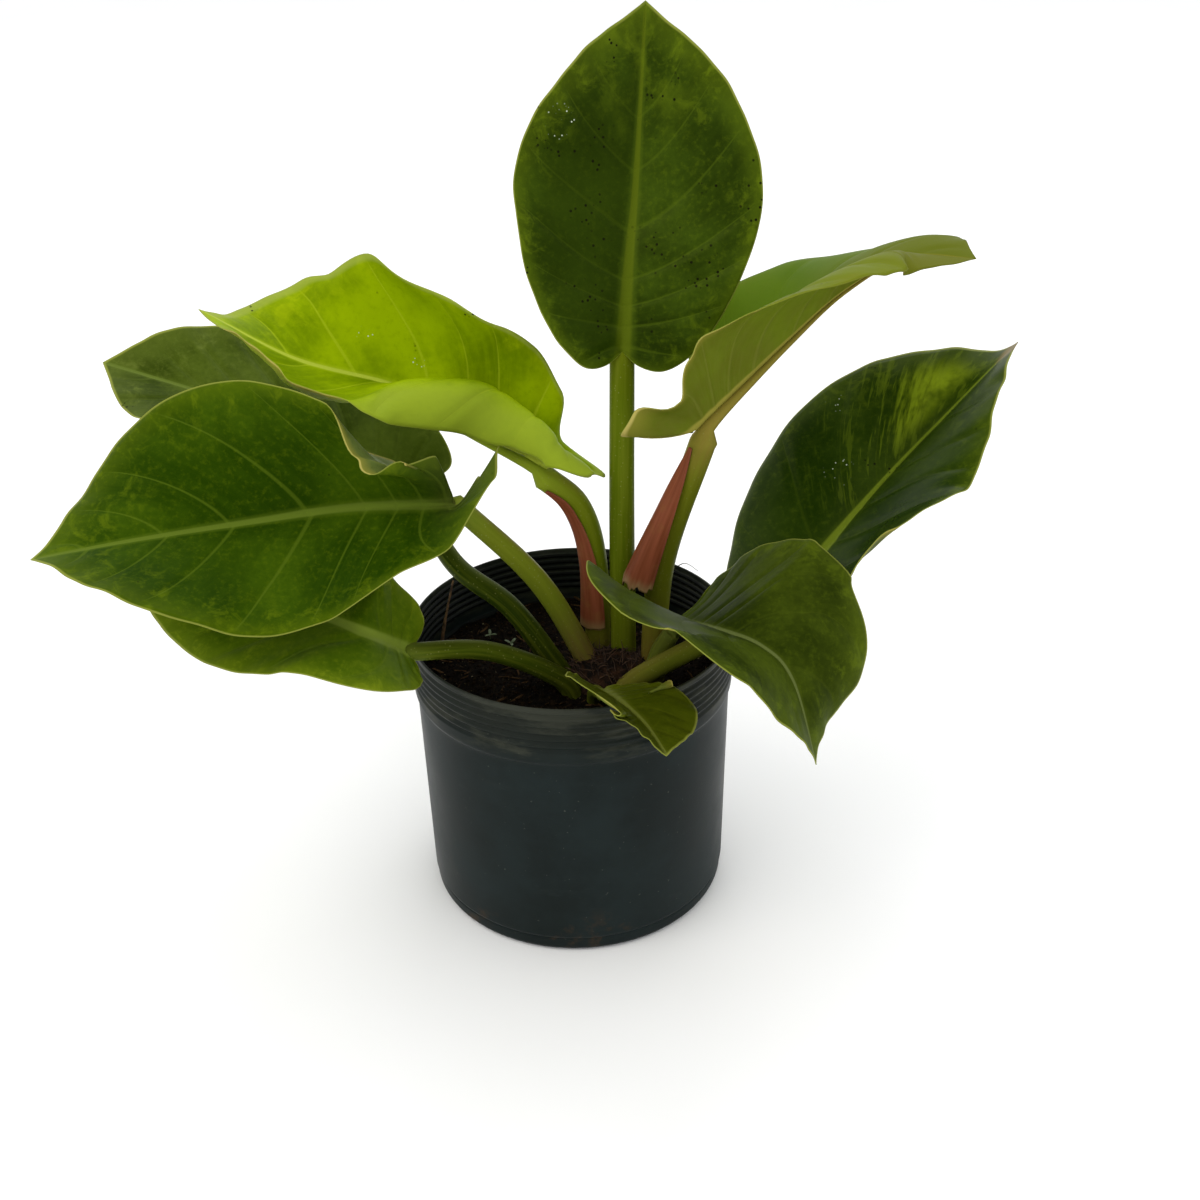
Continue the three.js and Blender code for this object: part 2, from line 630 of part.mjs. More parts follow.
function soilSolid() {
  const bottom = FLOOR + GAP;
  const innerWall = potOutline().filter(([, z]) => z > CORNER_RADIUS && z < BAND_BOTTOM)
    .map(([r, z]) => [r - WALL - SOIL_WALL_GAP, z]);
  const topRadius = innerWall[innerWall.length - 1][0];
  const bottomRadius = BASE_RADIUS - WALL - CORNER_RADIUS - SOIL_FLOOR_INSET;
  const profile = [[0, bottom], [bottomRadius, bottom], ...innerWall];
  for (let i = 1; i <= SOIL_RINGS; i++) profile.push([topRadius * (1 - i / SOIL_RINGS), SOIL_TOP]);
  const geometry = lathe(profile, POT_SEGMENTS);
  const position = geometry.attributes.position;
  for (let i = 0; i < position.count; i++) {
    if (position.getZ(i) < BAND_BOTTOM - BAND_STEP_HEIGHT) continue;
    position.setZ(i, soilHeight(position.getX(i), position.getY(i)));
  }
  let soil = toSolid(geometry).subtract(toSolid(stemGeometry(GAP))).subtract(twigTube(GAP));
  for (const leaf of Object.values(LEAVES)) soil = soil.subtract(petioleSocket(leaf));
  return soil.simplify(MERGE_LENGTH);
}

// ---------- the plant ----------

const group = new THREE.Group();
group.add(namedMesh('pot', potSolid(), '#222b2a', 0.45));
group.add(namedMesh('soil', soilSolid(), '#15110e', 0.95));
group.add(namedMesh('stem', stemSolid(), '#3a291b', 0.9));
for (const [name, leaf] of Object.entries(LEAVES)) {
  group.add(namedMesh(name, leafSolid(leaf), leaf.colour, 0.4));
}
for (const [name, sheath] of Object.entries(SHEATHS)) {
  group.add(namedMesh(name, sheathSolid(sheath), '#8c4a38', 0.55));
}
group.add(namedMesh('twig', twigTube(0), '#5a4632', 0.85));

export default group;
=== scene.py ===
# %% [markdown]
# # A philodendron in a nursery pot
#
# A young self-heading philodendron: nine heart-shaped leaves on long stalks, which all rise from
# one short fibrous stem in a ribbed plastic pot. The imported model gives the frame, in metres, and
# every piece below is a finer one that stands exactly where its solid does.

import math
from types import SimpleNamespace

import bmesh
import bpy
import numpy as np
from mathutils import Matrix, Vector
from mathutils import noise as field


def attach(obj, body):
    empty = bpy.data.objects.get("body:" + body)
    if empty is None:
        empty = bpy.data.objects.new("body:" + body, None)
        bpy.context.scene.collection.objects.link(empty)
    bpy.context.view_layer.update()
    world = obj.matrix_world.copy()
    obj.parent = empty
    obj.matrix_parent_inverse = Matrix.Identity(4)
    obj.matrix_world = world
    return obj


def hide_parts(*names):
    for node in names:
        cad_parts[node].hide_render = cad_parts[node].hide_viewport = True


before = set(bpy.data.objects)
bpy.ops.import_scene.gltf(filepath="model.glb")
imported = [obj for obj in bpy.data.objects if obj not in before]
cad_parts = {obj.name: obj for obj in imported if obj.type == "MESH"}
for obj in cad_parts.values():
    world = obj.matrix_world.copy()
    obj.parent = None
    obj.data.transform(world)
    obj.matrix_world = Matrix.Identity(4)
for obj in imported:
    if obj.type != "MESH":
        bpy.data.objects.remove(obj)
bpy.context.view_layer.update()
MM = 0.001
print("nodes of the frame:", sorted(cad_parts))

# %% [markdown]
# ## Camera
#
# The picture was taken standing, from about 90 cm in front, looking down at the pot. The rim and
# the base of the pot are both circles, and the two ellipses that they make give the tilt and the
# distance. A camera is set by its place and by the three directions of its own axes, which leaves
# no rolling or aiming to guess.

# %% Place the camera
CAMERA_PLACE = Vector((0.0200, -0.9000, 0.7264))
CAMERA_RIGHT = Vector((0.99978, -0.01025, -0.01826))
CAMERA_UP = Vector((0.02094, 0.48928, 0.87188))
CAMERA_BACK = CAMERA_RIGHT.cross(CAMERA_UP)
SENSOR_WIDTH = 36.0
FOCAL_LENGTH = 45.0

camera = bpy.data.objects.new("camera", bpy.data.cameras.new("camera"))
camera.data.sensor_width = SENSOR_WIDTH
camera.data.lens = FOCAL_LENGTH
camera.matrix_world = Matrix.Translation(CAMERA_PLACE) @ Matrix(
    (CAMERA_RIGHT, CAMERA_UP, CAMERA_BACK)).transposed().to_4x4()
bpy.context.collection.objects.link(camera)
bpy.context.scene.camera = camera
print("camera at", tuple(round(x, 3) for x in camera.location))

# %% [markdown]
# ## Small helpers
#
# Everything that is made twice gets a helper. Materials and Geometry Nodes are both trees of
# nodes, so one class knows how to add a node and return a socket of it. A Finish is a material
# that lays colour on colour, and a Growth is a tree that turns a mesh into a finer one. After
# them come helpers that make mesh objects, smooth a line of points and walk along it.

# %% Trees of nodes


def rgb(code):
    """A colour written as sRGB hex, as the linear RGBA that a shader takes."""
    parts = [int(code[i:i + 2], 16) / 255 for i in (1, 3, 5)]
    return (*[p / 12.92 if p <= 0.04045 else ((p + 0.055) / 1.055) ** 2.4 for p in parts], 1.0)


class Tree:
    """A node tree. Each call adds a node and returns one of its outputs."""

    def __init__(self, tree):
        self.tree = tree

    def add(self, kind, feed=None, out=0, **words):
        """The feed and the capitalised words fill inputs, with values or with sockets.

        The other words are the node's settings. With out=None it returns the node itself.
        """
        made = self.tree.nodes.new(kind)
        feed = dict(feed or {})
        for word, value in words.items():
            if word[0].isupper():
                feed[word.replace("_", " ")] = value
            else:
                setattr(made, word, value)
        for key, value in feed.items():
            if isinstance(value, bpy.types.NodeSocket):
                self.tree.links.new(value, made.inputs[key])
            else:
                made.inputs[key].default_value = value
        return made if out is None or not made.outputs else made.outputs[out]

    def shader(self, kind, feed=None, out=0, **words):
        return self.add("ShaderNode" + kind, feed, out, **words)

    def geo(self, kind, feed=None, out=0, **words):
        return self.add("GeometryNode" + kind, feed, out, **words)

    def math(self, operation, *values):
        return self.shader("Math", dict(enumerate(values)), operation=operation)

    def vector(self, operation, *values, out=0, **words):
        return self.shader("VectorMath", dict(enumerate(values)), out, operation=operation, **words)

    def band(self, value, start, end, low=0.0, high=1.0):
        """Runs smoothly from low to high while the value goes from start to end."""
        return self.shader("MapRange", {0: value, 1: start, 2: end, 3: low, 4: high},
                           interpolation_type="SMOOTHSTEP")

    def times(self, *values):
        """The product of sockets, numbers and bands, which are given as tuples."""
        total, *others = [self.band(*v) if isinstance(v, tuple) else v for v in values]
        for other in others:
            total = self.math("MULTIPLY", total, other)
        return total

    def join(self, *values):
        return self.shader("CombineXYZ", dict(enumerate(values)))

    def upward(self, vector):
        return self.shader("SeparateXYZ", {0: vector}, 2)


# %% Materials


class Finish(Tree):
    """A material in the making: the place on the object and the colour so far."""

    def __init__(self, name, first):
        self.material = bpy.data.materials.new(name)
        self.material.use_nodes = True
        super().__init__(self.material.node_tree)
        self.tree.nodes.clear()
        self.place = self.shader("TexCoord", out="Object")
        self.colour = rgb(first)

    def attribute(self, name):
        return self.shader("Attribute", out="Fac", attribute_name=name)

    def noise(self, scale, detail=3.0, rough=0.5, warp=0.0, at=None):
        return self.shader("TexNoise", Vector=at or self.place, Scale=scale, Detail=detail,
                           Roughness=rough, Distortion=warp)

    def dots(self, scale):
        return self.shader("TexVoronoi", Vector=self.place, Scale=scale)

    def spot(self, place, start, end):
        """Grows from 0 to 1 on the way from one distance to a place to a shorter one."""
        place = tuple(x * MM for x in place)
        return self.band(self.vector("DISTANCE", self.place, place, out=1), start * MM, end * MM)

    def paint(self, code, *shares):
        """Lays a colour over the earlier ones, as far as the product of the shares says."""
        self.colour = self.shader("Mix", {0: self.times(*shares), 6: self.colour, 7: rgb(code)},
                                  2, data_type="RGBA")

    def finish(self, roughness, height=None, distance=1.0, strength=1.0, **fixed):
        """Joins all in one shader. Numbers that are the same all over are set on it."""
        if height is not None:
            fixed["Normal"] = self.shader("Bump", Height=height, Distance=distance * MM,
                                          Strength=strength)
        self.shader("OutputMaterial", Surface=self.shader(
            "BsdfPrincipled", Base_Color=self.colour, Roughness=self.times(roughness), **fixed))
        return self.material


def grained(name, dark, light, noise, limits, relief, **fixed):
    """A simple material. One noise shades it from dark to light and gives it its relief."""
    m = Finish(name, dark)
    tone = m.noise(*noise)
    m.paint(light, (tone, *limits))
    return m.finish(relief[0], tone, *relief[1:], **fixed)


# %% Geometry Nodes


class Growth(Tree):
    """A Geometry Nodes tree with named inputs, which are at hand under the same names."""

    def __init__(self, name, **inputs):
        super().__init__(bpy.data.node_groups.new(name, "GeometryNodeTree"))
        self.socket("Geometry", "INPUT", "Geometry")
        for label, value in inputs.items():
            kind = "Int" if isinstance(value, int) else "Float"
            label = label.replace("_", " ").capitalize()
            self.socket(label, "INPUT", kind).default_value = value
        self.socket("Material", "INPUT", "Material")
        self.socket("Geometry", "OUTPUT", "Geometry")
        for given in self.tree.nodes.new("NodeGroupInput").outputs[:-1]:
            setattr(self, given.name.lower().replace(" ", "_"), given)

    def socket(self, label, way, kind):
        return self.tree.interface.new_socket(label, in_out=way, socket_type="NodeSocket" + kind)

    def finish(self, geometry):
        """Each tree ends in real geometry with its material."""
        real = self.geo("RealizeInstances", Geometry=geometry)
        painted = self.geo("SetMaterial", Geometry=real, Material=self.material)
        self.add("NodeGroupOutput", {0: painted})
        return self

    def grow(self, name, base, **values):
        """Runs the tree on the base object and keeps the result as a plain mesh."""
        modifier = base.modifiers.new("grow", "NODES")
        modifier.node_group = self.tree
        for item in self.tree.interface.items_tree:
            label = item.name.lower().replace(" ", "_")
            if item.in_out == "INPUT" and label in values:
                modifier[item.identifier] = values[label]
        ready = base.evaluated_get(bpy.context.evaluated_depsgraph_get())
        mesh = bpy.data.meshes.new_from_object(ready)
        base.modifiers.clear()
        base.data = mesh
        base.name = mesh.name = name
        return base


# %% Objects


def mesh_object(name, points, faces, edges=()):
    """A mesh object at the origin. The points are in millimetres."""
    mesh = bpy.data.meshes.new(name)
    mesh.from_pydata([tuple(p) for p in np.asarray(points, float) * MM], list(edges), list(faces))
    made = bpy.data.objects.new(name, mesh)
    bpy.context.collection.objects.link(made)
    return made


def quads(cell):
    """The corners of each cell in a grid of point numbers."""
    return np.stack([cell[:-1, :-1], cell[:-1, 1:], cell[1:, 1:], cell[1:, :-1]], -1).reshape(-1, 4)


def tube(rings, sides):
    """The faces between rings of points."""
    cell = np.arange(rings * sides).reshape(rings, sides)
    return quads(np.column_stack([cell, cell[:, 0]]))


def line_object(name, points):
    """Points joined one after another, for a tree to turn into a curve."""
    return mesh_object(name, points, [], [(i, i + 1) for i in range(len(points) - 1)])


def bare_copy(name, piece):
    """The same mesh once more, for a tree to scatter things on."""
    return mesh_object(name, [v.co / MM for v in piece.data.vertices],
                       [tuple(p.vertices) for p in piece.data.polygons])


def smooth_faces(piece):
    piece.data.polygons.foreach_set("use_smooth", [True] * len(piece.data.polygons))


def close_seams(piece, distance):
    """Merges points within a distance in millimetres, and turns the faces outwards."""
    work = bmesh.new()
    work.from_mesh(piece.data)
    bmesh.ops.remove_doubles(work, verts=work.verts, dist=distance * MM)
    bmesh.ops.dissolve_degenerate(work, edges=work.edges, dist=distance * MM * 0.1)
    bmesh.ops.recalc_face_normals(work, faces=work.faces)
    work.to_mesh(piece.data)
    work.free()
    smooth_faces(piece)


def settle(piece, material_slot, *nodes):
    """The piece moves with the part and stands for its solids; material_slot is not used."""
    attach(piece, "root")
    if nodes:
        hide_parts(*nodes)
    print(f"{piece.name}: {len(piece.data.polygons)} faces")


# %% Lines
LINE_STEPS = 60  # on each stretch between two given points


def smooth_line(points):
    """A dense line of points on the smooth curve through a few."""
    p = np.asarray(points, float)
    p = np.vstack([2 * p[0] - p[1], p, 2 * p[-1] - p[-2]])
    t = (np.arange(LINE_STEPS) / LINE_STEPS)[:, None]
    parts = []
    for a, b, c, d in zip(p[:-3], p[1:-2], p[2:-1], p[3:]):
        parts.append(0.5 * (2 * b + (c - a) * t + (2 * a - 5 * b + 4 * c - d) * t ** 2
                            + (3 * b - a - 3 * c + d) * t ** 3))
    return np.vstack(parts + [p[-2:-1]])


def lengths(line):
    return np.concatenate([[0], np.cumsum(np.linalg.norm(np.diff(line, axis=0), axis=1))])


def on_line(line, share, measure=None):
    """The points at these shares of the line's length."""
    run = lengths(line if measure is None else measure)
    return np.stack([np.interp(np.asarray(share) * run[-1], run, line[:, k])
                     for k in range(line.shape[1])], -1)


def unit(vectors):
    return vectors / np.maximum(np.linalg.norm(vectors, axis=-1, keepdims=True), 1e-9)


def direction(line, share, reach=0.01):
    ahead = on_line(line, np.clip(np.asarray(share) + reach, 0, 1))
    return unit(ahead - on_line(line, np.clip(np.asarray(share) - reach, 0, 1)))


# %% [markdown]
# ## Floor and light
#
# The plant stood in soft daylight and is shown on plain white. A pale floor and a pale sky give
# the same even light, a wide soft lamp from the upper left gives the leaves their faint sheen,
# and a second one from behind lights the young leaf that lies open to the sky.

# %% Floor, sky and lamps
FLOOR_HALF = 15000
FLOOR_HEIGHT = -0.4
SKY_COLOUR = "#fbfcfd"
SKY_STRENGTH = 1.06
LAMP_AIM = Vector((0, 0, 0.25))
LAMPS = {
    "key_lamp": dict(place=(-1.3, -1.0, 2.3), size=1.6, power=17, colour="#fffaf0"),
    "back_lamp": dict(place=(0.5, 1.6, 2.4), size=1.8, power=17, colour="#ffffff"),
}


def white_card():
    """Matt white card, a touch uneven."""
    m = Finish("white_card", "#fafaf9")
    m.paint("#fcfcfc", (m.noise(3.0), 0.3, 0.7))
    return m.finish(0.9)


floor = mesh_object("floor", [(x * FLOOR_HALF, y * FLOOR_HALF, FLOOR_HEIGHT) for x, y in (
    (-1, -1), (1, -1), (1, 1), (-1, 1))], [(0, 1, 2, 3)])
floor.data.materials.append(white_card())

world = bpy.data.worlds.new("sky")
world.use_nodes = True
world.node_tree.nodes.clear()
sky = Tree(world.node_tree)
sky.shader("OutputWorld", Surface=sky.shader("Background", Color=rgb(SKY_COLOUR),
                                             Strength=SKY_STRENGTH))
bpy.context.scene.world = world
bpy.context.scene.view_settings.view_transform = "Standard"

for name, lamp in LAMPS.items():
    light = bpy.data.lights.new(name, "AREA")
    light.size = lamp["size"]
    light.energy = lamp["power"]
    light.color = rgb(lamp["colour"])[:3]
    shown = bpy.data.objects.new(name, light)
    shown.location = lamp["place"]
    shown.rotation_euler = (LAMP_AIM - shown.location).to_track_quat("-Z", "Y").to_euler()
    bpy.context.collection.objects.link(shown)
print("lamps:", list(LAMPS))

# %% [markdown]
# ## Pot
#
# A thin-walled moulded nursery pot: straight sides that widen a little, a rolled foot, and a wider
# band at the top with six soft ribs. It is a turned shape, so a Geometry Nodes tree sweeps one
# half section round a circle, then presses the ribs in by a wave along the height and cuts the
# ring of drain holes. The ribs, their pitch and depth are inputs, so the same tree makes a sister
# pot.

# %% The pot's section
POT_HEIGHT = 205
RIM_RADIUS = 111.5
BASE_RADIUS = 107
WALL = 1.7
LIP_RADIUS = 0.85
POT_FLOOR = 2.2
CORNER_RADIUS = 5
FOOT_GROOVE_HEIGHT = 12
FOOT_GROOVE_DEPTH = 0.7
FOOT_GROOVE_WIDTH = 1.1
FOOT_STEP = 1.0  # how far the foot lies inside the wall above its groove
BAND_BOTTOM = 163
BAND_STEP = 1.8
BAND_EASE = 0.7  # the height over which the wall steps out to the band
RIM_LIP_HEIGHT = 3
SWEEP_RADIUS = 100
AXIS = 0.01  # the section stops this far from the axis


def wall_radius(z):
    """The outer wall without its ribs."""
    r = BASE_RADIUS + (RIM_RADIUS - BAND_STEP - BASE_RADIUS) * np.clip(z / BAND_BOTTOM, 0, 1)
    r = r + BAND_STEP / (1 + np.exp(-(z - BAND_BOTTOM + 1) / BAND_EASE))
    r = r - FOOT_GROOVE_DEPTH * np.exp(-((z - FOOT_GROOVE_HEIGHT) / FOOT_GROOVE_WIDTH) ** 2)
    foot = np.clip((CORNER_RADIUS - z) / CORNER_RADIUS, 0, 1)
    return r - CORNER_RADIUS * (1 - np.sqrt(1 - foot ** 2)) - FOOT_STEP * (z < FOOT_GROOVE_HEIGHT)


def arc(centre_r, centre_z, radius, angles):
    return [(centre_r + radius * math.cos(a), centre_z + radius * math.sin(a)) for a in angles]


def pot_section():
    """Half of the wall's section, as points (radius, height), closed into one loop."""
    heights = np.concatenate([np.linspace(0, 16, 26), np.linspace(18, 158, 18),
                              np.linspace(160, POT_HEIGHT - 1, 100)])
    outer = [(wall_radius(z), z) for z in heights]
    lip = arc(RIM_RADIUS - LIP_RADIUS, POT_HEIGHT - LIP_RADIUS, LIP_RADIUS,
              np.linspace(0.3, math.pi - 0.3, 7))
    inner = [(r - WALL, z) for r, z in reversed(outer) if z > POT_FLOOR + CORNER_RADIUS]
    corner = arc(inner[-1][0] - CORNER_RADIUS, POT_FLOOR + CORNER_RADIUS, CORNER_RADIUS,
                 -np.linspace(0.2, math.pi / 2, 6))
    return [(AXIS, 0)] + outer + lip + inner + corner + [(AXIS, POT_FLOOR)]


section = pot_section()
print("points in the pot's section:", len(section))

# %% [markdown]
# The plastic is a dark bottle green, nearly black. What makes it read as plastic is its satin
# sheen, the faint mould texture, a little dust in the ribs and dried splashes of soil low down.

# %% Pot plastic


def pot_plastic():
    """Satin dark green plastic: dust, drip marks, soil splashes, painted shade inside the rim."""
    m = Finish("pot_plastic", "#141b1a")
    height = m.upward(m.place)
    cloud = m.noise(14.0, 5.0, 0.6)
    m.paint("#1b2424", (cloud, 0.35, 0.7))
    m.paint("#2c2c20", (height, 0.15, 0.2), 0.35)
    smear = m.noise(22.0, 6.0, 0.65, at=m.shader("Mapping", Vector=m.place, Scale=(1, 1, 3.5)))
    m.paint("#2c3432", (smear, 0.58, 0.8), 0.3)
    m.paint("#3c2f20", (height, 0.045, 0.004), (m.noise(34.0, 6.0, 0.7), 0.55, 0.68), 0.7)
    m.paint("#6b6f63", (m.noise(420.0, 2.0), 0.72, 0.76), 0.2)
    m.paint("#3a3c32", (height, 0.160, 0.168), (smear, 0.46, 0.62), 0.6)
    # painted shade: the inner wall above the soil is painted near black, as shade would darken it
    radius = m.vector("LENGTH", m.shader("Mapping", Vector=m.place, Scale=(1, 1, 0)), out=1)
    inside = m.math("LESS_THAN", radius, (RIM_RADIUS - WALL - 0.5) * MM)
    m.paint("#0c0f0c", inside, (height, 0.15, 0.165))
    grain = m.math("ADD", m.noise(1500.0, 1.0), m.times(cloud, 2.0))
    return m.finish((cloud, 0.3, 0.75, 0.34, 0.48), grain, 0.1, 0.35, Specular_IOR_Level=0.07)


# %% The pot's tree


def turned_pot_tree():
    """Sweeps the section round, presses the ribs in and drills the drain holes."""
    t = Growth("turned_pot", sweep_radius=SWEEP_RADIUS * MM, segments=192, rib_count=6,
               rib_pitch=5.2 * MM, rib_depth=1.3 * MM, drain_holes=8, drain_radius=7 * MM,
               drain_circle=80 * MM, top_of_the_ribs=(POT_HEIGHT - RIM_LIP_HEIGHT) * MM)
    path = t.geo("CurvePrimitiveCircle", Resolution=t.segments, Radius=t.sweep_radius)
    level = t.geo("SetCurveNormal", Curve=path, mode="Z_UP")
    profile = t.geo("MeshToCurve", Mesh=t.geometry)
    swept = t.geo("CurveToMesh", Curve=level, Profile_Curve=profile)
    place = t.geo("InputPosition")
    below = t.math("DIVIDE", t.math("SUBTRACT", t.top_of_the_ribs, t.upward(place)), t.rib_pitch)
    wave = t.math("COSINE", t.times(below, 2 * math.pi))
    press = t.times(t.math("SUBTRACT", 1.0, wave), 0.5, t.rib_depth)
    within = t.times(t.math("GREATER_THAN", below, 0.0), t.math("LESS_THAN", below, t.rib_count))
    outward = t.vector("NORMALIZE", t.vector("MULTIPLY", place, (1, 1, 0)))
    move = t.vector("SCALE", outward, Scale=t.times(press, within, -1.0))
    ribbed = t.geo("SetPosition", Geometry=swept, Offset=move)
    merged = t.geo("MergeByDistance", Geometry=ribbed, Distance=0.05 * MM)
    ring = t.geo("MeshCircle", Vertices=t.drain_holes, Radius=t.drain_circle)
    drill = t.geo("MeshCylinder", Vertices=32, Radius=t.drain_radius, Depth=20 * MM)
    drills = t.geo("InstanceOnPoints", Points=ring, Instance=drill)
    cut = t.geo("MeshBoolean", {"Mesh 1": merged, "Mesh 2": t.geo(
        "RealizeInstances", Geometry=drills)}, operation="DIFFERENCE")
    return t.finish(t.geo("SetShadeSmooth", Geometry=cut))


# a sweep turns its profile upside down
loop = [(r - SWEEP_RADIUS, -z, 0) for r, z in section]
outline = mesh_object("pot_section", loop, [], [(i, (i + 1) % len(loop)) for i in range(len(loop))])
pot = turned_pot_tree().grow("nursery_pot", outline, material=pot_plastic())
close_seams(pot, 0.02)
settle(pot, "pot_plastic", "pot")

# %% [markdown]
# ## The nine leaves
#
# Each leaf is written as it grew: where its stalk runs, the line of its midrib, the way its upper
# side faces, how far each half is folded up from flat, how it curls towards the margin, and on
# three leaves the places where the margin is drawn away. Fold and curl are given at equal steps
# from base to tip, as many as a leaf needs. The same half outline, from the notch at the stalk
# round to the tip, serves all of them. Millimetres and degrees; left and right are seen from
# above, looking towards the tip.

# %% The leaves as they grew
HALF_OUTLINE = [
    (0, 0), (0.14, -0.045), (0.33, -0.055), (0.53, 0), (0.72, 0.1), (0.9, 0.26), (1, 0.44),
    (0.96, 0.6), (0.78, 0.75), (0.48, 0.875), (0.17, 0.955), (0, 1),
]
OUTLINE_WIDTH_WEIGHT = 0.62  # how much a step sideways counts in the outline's length
RIB_POWER = 2.2  # how the side veins leave the midrib: close together at the base
SWEEP_POWER = 1.25  # how they bend forward on their way to the margin
PULL_POWER = 2  # how a pull on the margin dies away towards the midrib
LEAST_CURL = 1e-4  # a curl of nothing at all would divide by zero

LEAVES = {
    "leaf_back_upright": dict(
        petiole=[(36, 13, 158), (36, 17, 270)],
        midrib=[(38, 33, 388), (43, 54, 440), (49, 76, 492), (56, 92, 595)],
        face=[(0, -0.96, 0.28), (0, -0.9, 0.43)], half_width=(80, 84),
        fold=[(20, 16, 30), (5, 16, 25)], curl=[(10, 0, 20), (0, 5, 15)], lobe=(1, 0.9),
        radius=(9, 8.3)),
    "leaf_right_folded": dict(
        petiole=[(56, 6, 158), (63, 2, 250)],
        midrib=[(84, -8, 350), (146, 33, 394), (185, 57, 419), (225, 66, 437), (266, 44, 442)],
        face=[(-0.6, 0.14, 0.78), (-0.48, 0.03, 0.88)], half_width=(86, 86),
        fold=[(10, 10, 10), (52, 55, 15)], curl=[(-20, 20, -135), (10, -80, -55)],
        lobe=(0.6, 3.8), radius=(9, 8.8),
        pull=[[(0, 0, 0, 0), (0.07, 9, 1, 1), (0.13, 14, 2, 3), (0.2, 16, 3, 6), (0.33, 6, 0, 1),
               (0.4, 0, 0, 0)],
              [(0, 0, 0, 0), (0.07, -9, 8, 15), (0.13, 1, 10, 18), (0.2, 4, -6, -10),
               (0.27, -2, -3, -5), (0.33, -9, -2, -3), (0.47, 0, 0, 0)]]),
    "leaf_right_broad": dict(
        petiole=[(27, -29, 156), (46, -32, 178), (84, -38, 205), (108, -40, 220)],
        midrib=[(136, -42, 234), (177, 8, 257), (224, 49, 290), (265, 67, 327), (309, 76, 374)],
        face=[(-0.6, -0.46, 0.65), (-0.72, -0.26, 0.64)], half_width=(85, 84),
        fold=[(-20, 48, -35), (-30, 22, 28)], curl=[(0, -45, 70), (150, -15, -30)],
        lobe=(0.5, 0.3), radius=(8, 6.5)),
    "leaf_front_right": dict(
        petiole=[(55, -14, 156), (60, -14, 185)],
        midrib=[(69, -16, 212), (94, -85, 245), (118, -116, 251), (135, -134, 238),
                (148, -163, 196)],
        face=[(0, -0.13, 0.99), (0.16, -0.2, 0.97), (0.89, -0.28, 0.36)], half_width=(85, 98),
        fold=[(12, 32, -10), (30, 26, 16)], curl=[(65, -10, -10), (37, 5, -20)],
        lobe=(0.2, 1), radius=(8, 6)),
    "leaf_front_small": dict(
        petiole=[(14, -35, 156), (15, -52, 180)],
        midrib=[(20, -92, 207), (32, -120, 215), (46, -134, 208), (58, -162, 204)],
        face=[(0.14, 0.13, 0.98), (0, -0.13, 0.99)], half_width=(39, 41),
        fold=[(8, 5, 0), (26, 34, 46)], curl=[(5, 0, 0), (10, 5, 18)], lobe=(0.9, 1),
        radius=(5, 3.5)),
    "leaf_left_young": dict(
        petiole=[(18, 25, 158), (17, 23, 237), (7, 19, 283)],
        midrib=[(-13, 14, 315), (-71, 32, 340), (-114, 48, 361), (-180, 48, 383),
                (-236, 42, 420)],
        face=[(-0.05, -0.1, 0.99), (0, 0.1, 0.99)], half_width=(105, 87),
        fold=[(125, 134, 18, -14, -6), (17, 44, -10)],
        curl=[(-370, -240, -10, 62, 50), (12, 90, -15)], lobe=(1.8, 0), radius=(9, 8.5),
        pull=[[(0, 0, 0, 0), (0.07, 2, -3, -5), (0.13, 3, -3, -6), (0.2, 5, 2, 3), (0.27, 2, 0, 1),
               (0.33, 1, -2, -4), (0.47, 13, -1, -2), (0.53, 0, 0, 0)],
              [(0, 0, 0, 0), (0.07, 22, -9, -15), (0.13, 25, -14, -25), (0.2, -11, -7, -12),
               (0.27, 1, -4, -7), (0.33, 0, 0, 0), (0.47, 0, 0, 0), (0.53, 0, -3, -5),
               (0.6, 2, 1, 2), (0.67, 0, -3, -5), (0.73, 0, 0, 0)]]),
    "leaf_left_large": dict(
        petiole=[(16, 5, 158), (-20, -9, 240)],
        midrib=[(-71, -36, 314), (-138, -32, 311), (-200, -44, 308), (-266, -66, 308),
                (-328, -84, 305)],
        face=[(-0.15, -0.84, 0.52), (-0.05, -0.65, 0.76)], half_width=(88, 90),
        fold=[(40, 18, 45), (50, 28, -35)], curl=[(22, 5, 15), (28, 5, 0)], lobe=(0.8, 0),
        radius=(8.2, 6.8),
        pull=[[(0, 0, 0, 0), (0.07, 7, 13, 24), (0.13, 21, 27, 48), (0.2, 31, 21, 38),
               (0.27, 24, 7, 13), (0.33, 17, 6, 10), (0.4, 0, 0, 0)],
              [(0, 0, 0, 0), (0.07, -3, 2, 4), (0.13, -6, 4, 7), (0.2, -24, -3, -5),
               (0.27, -22, -10, -18), (0.33, -7, -9, -17), (0.4, 0, 0, 0)]]),
    "leaf_left_rear": dict(
        petiole=[(-2, -6, 156), (-40, 0, 215), (-82, 26, 240)],
        midrib=[(-110, 72, 282), (-169, 86, 309), (-233, 101, 330), (-333, 125, 355)],
        face=[(0, -0.1, 1), (0, -0.47, 0.88)], half_width=(73, 76),
        fold=[(43, 23, 10), (34, 4, 22)], curl=[(10, 10, 5), (10, 0, 5)], lobe=(1.6, 1.3),
        radius=(8, 6.5)),
    "leaf_left_low": dict(
        petiole=[(3, -25, 154), (-10, -29, 178), (-56, -44, 209)],
        midrib=[(-107, -57, 218), (-130, -78, 245), (-172, -65, 255), (-284, -48, 278)],
        face=[(0.15, -0.65, 0.75), (-0.05, -0.85, 0.52)], half_width=(54, 60),
        fold=[(23, 18, -15), (12, -25, -10)], curl=[(15, 10, 0), (5, 0, 5)], lobe=(0.7, 0.7),
        radius=(7.5, 6)),
}
print("leaves:", len(LEAVES))

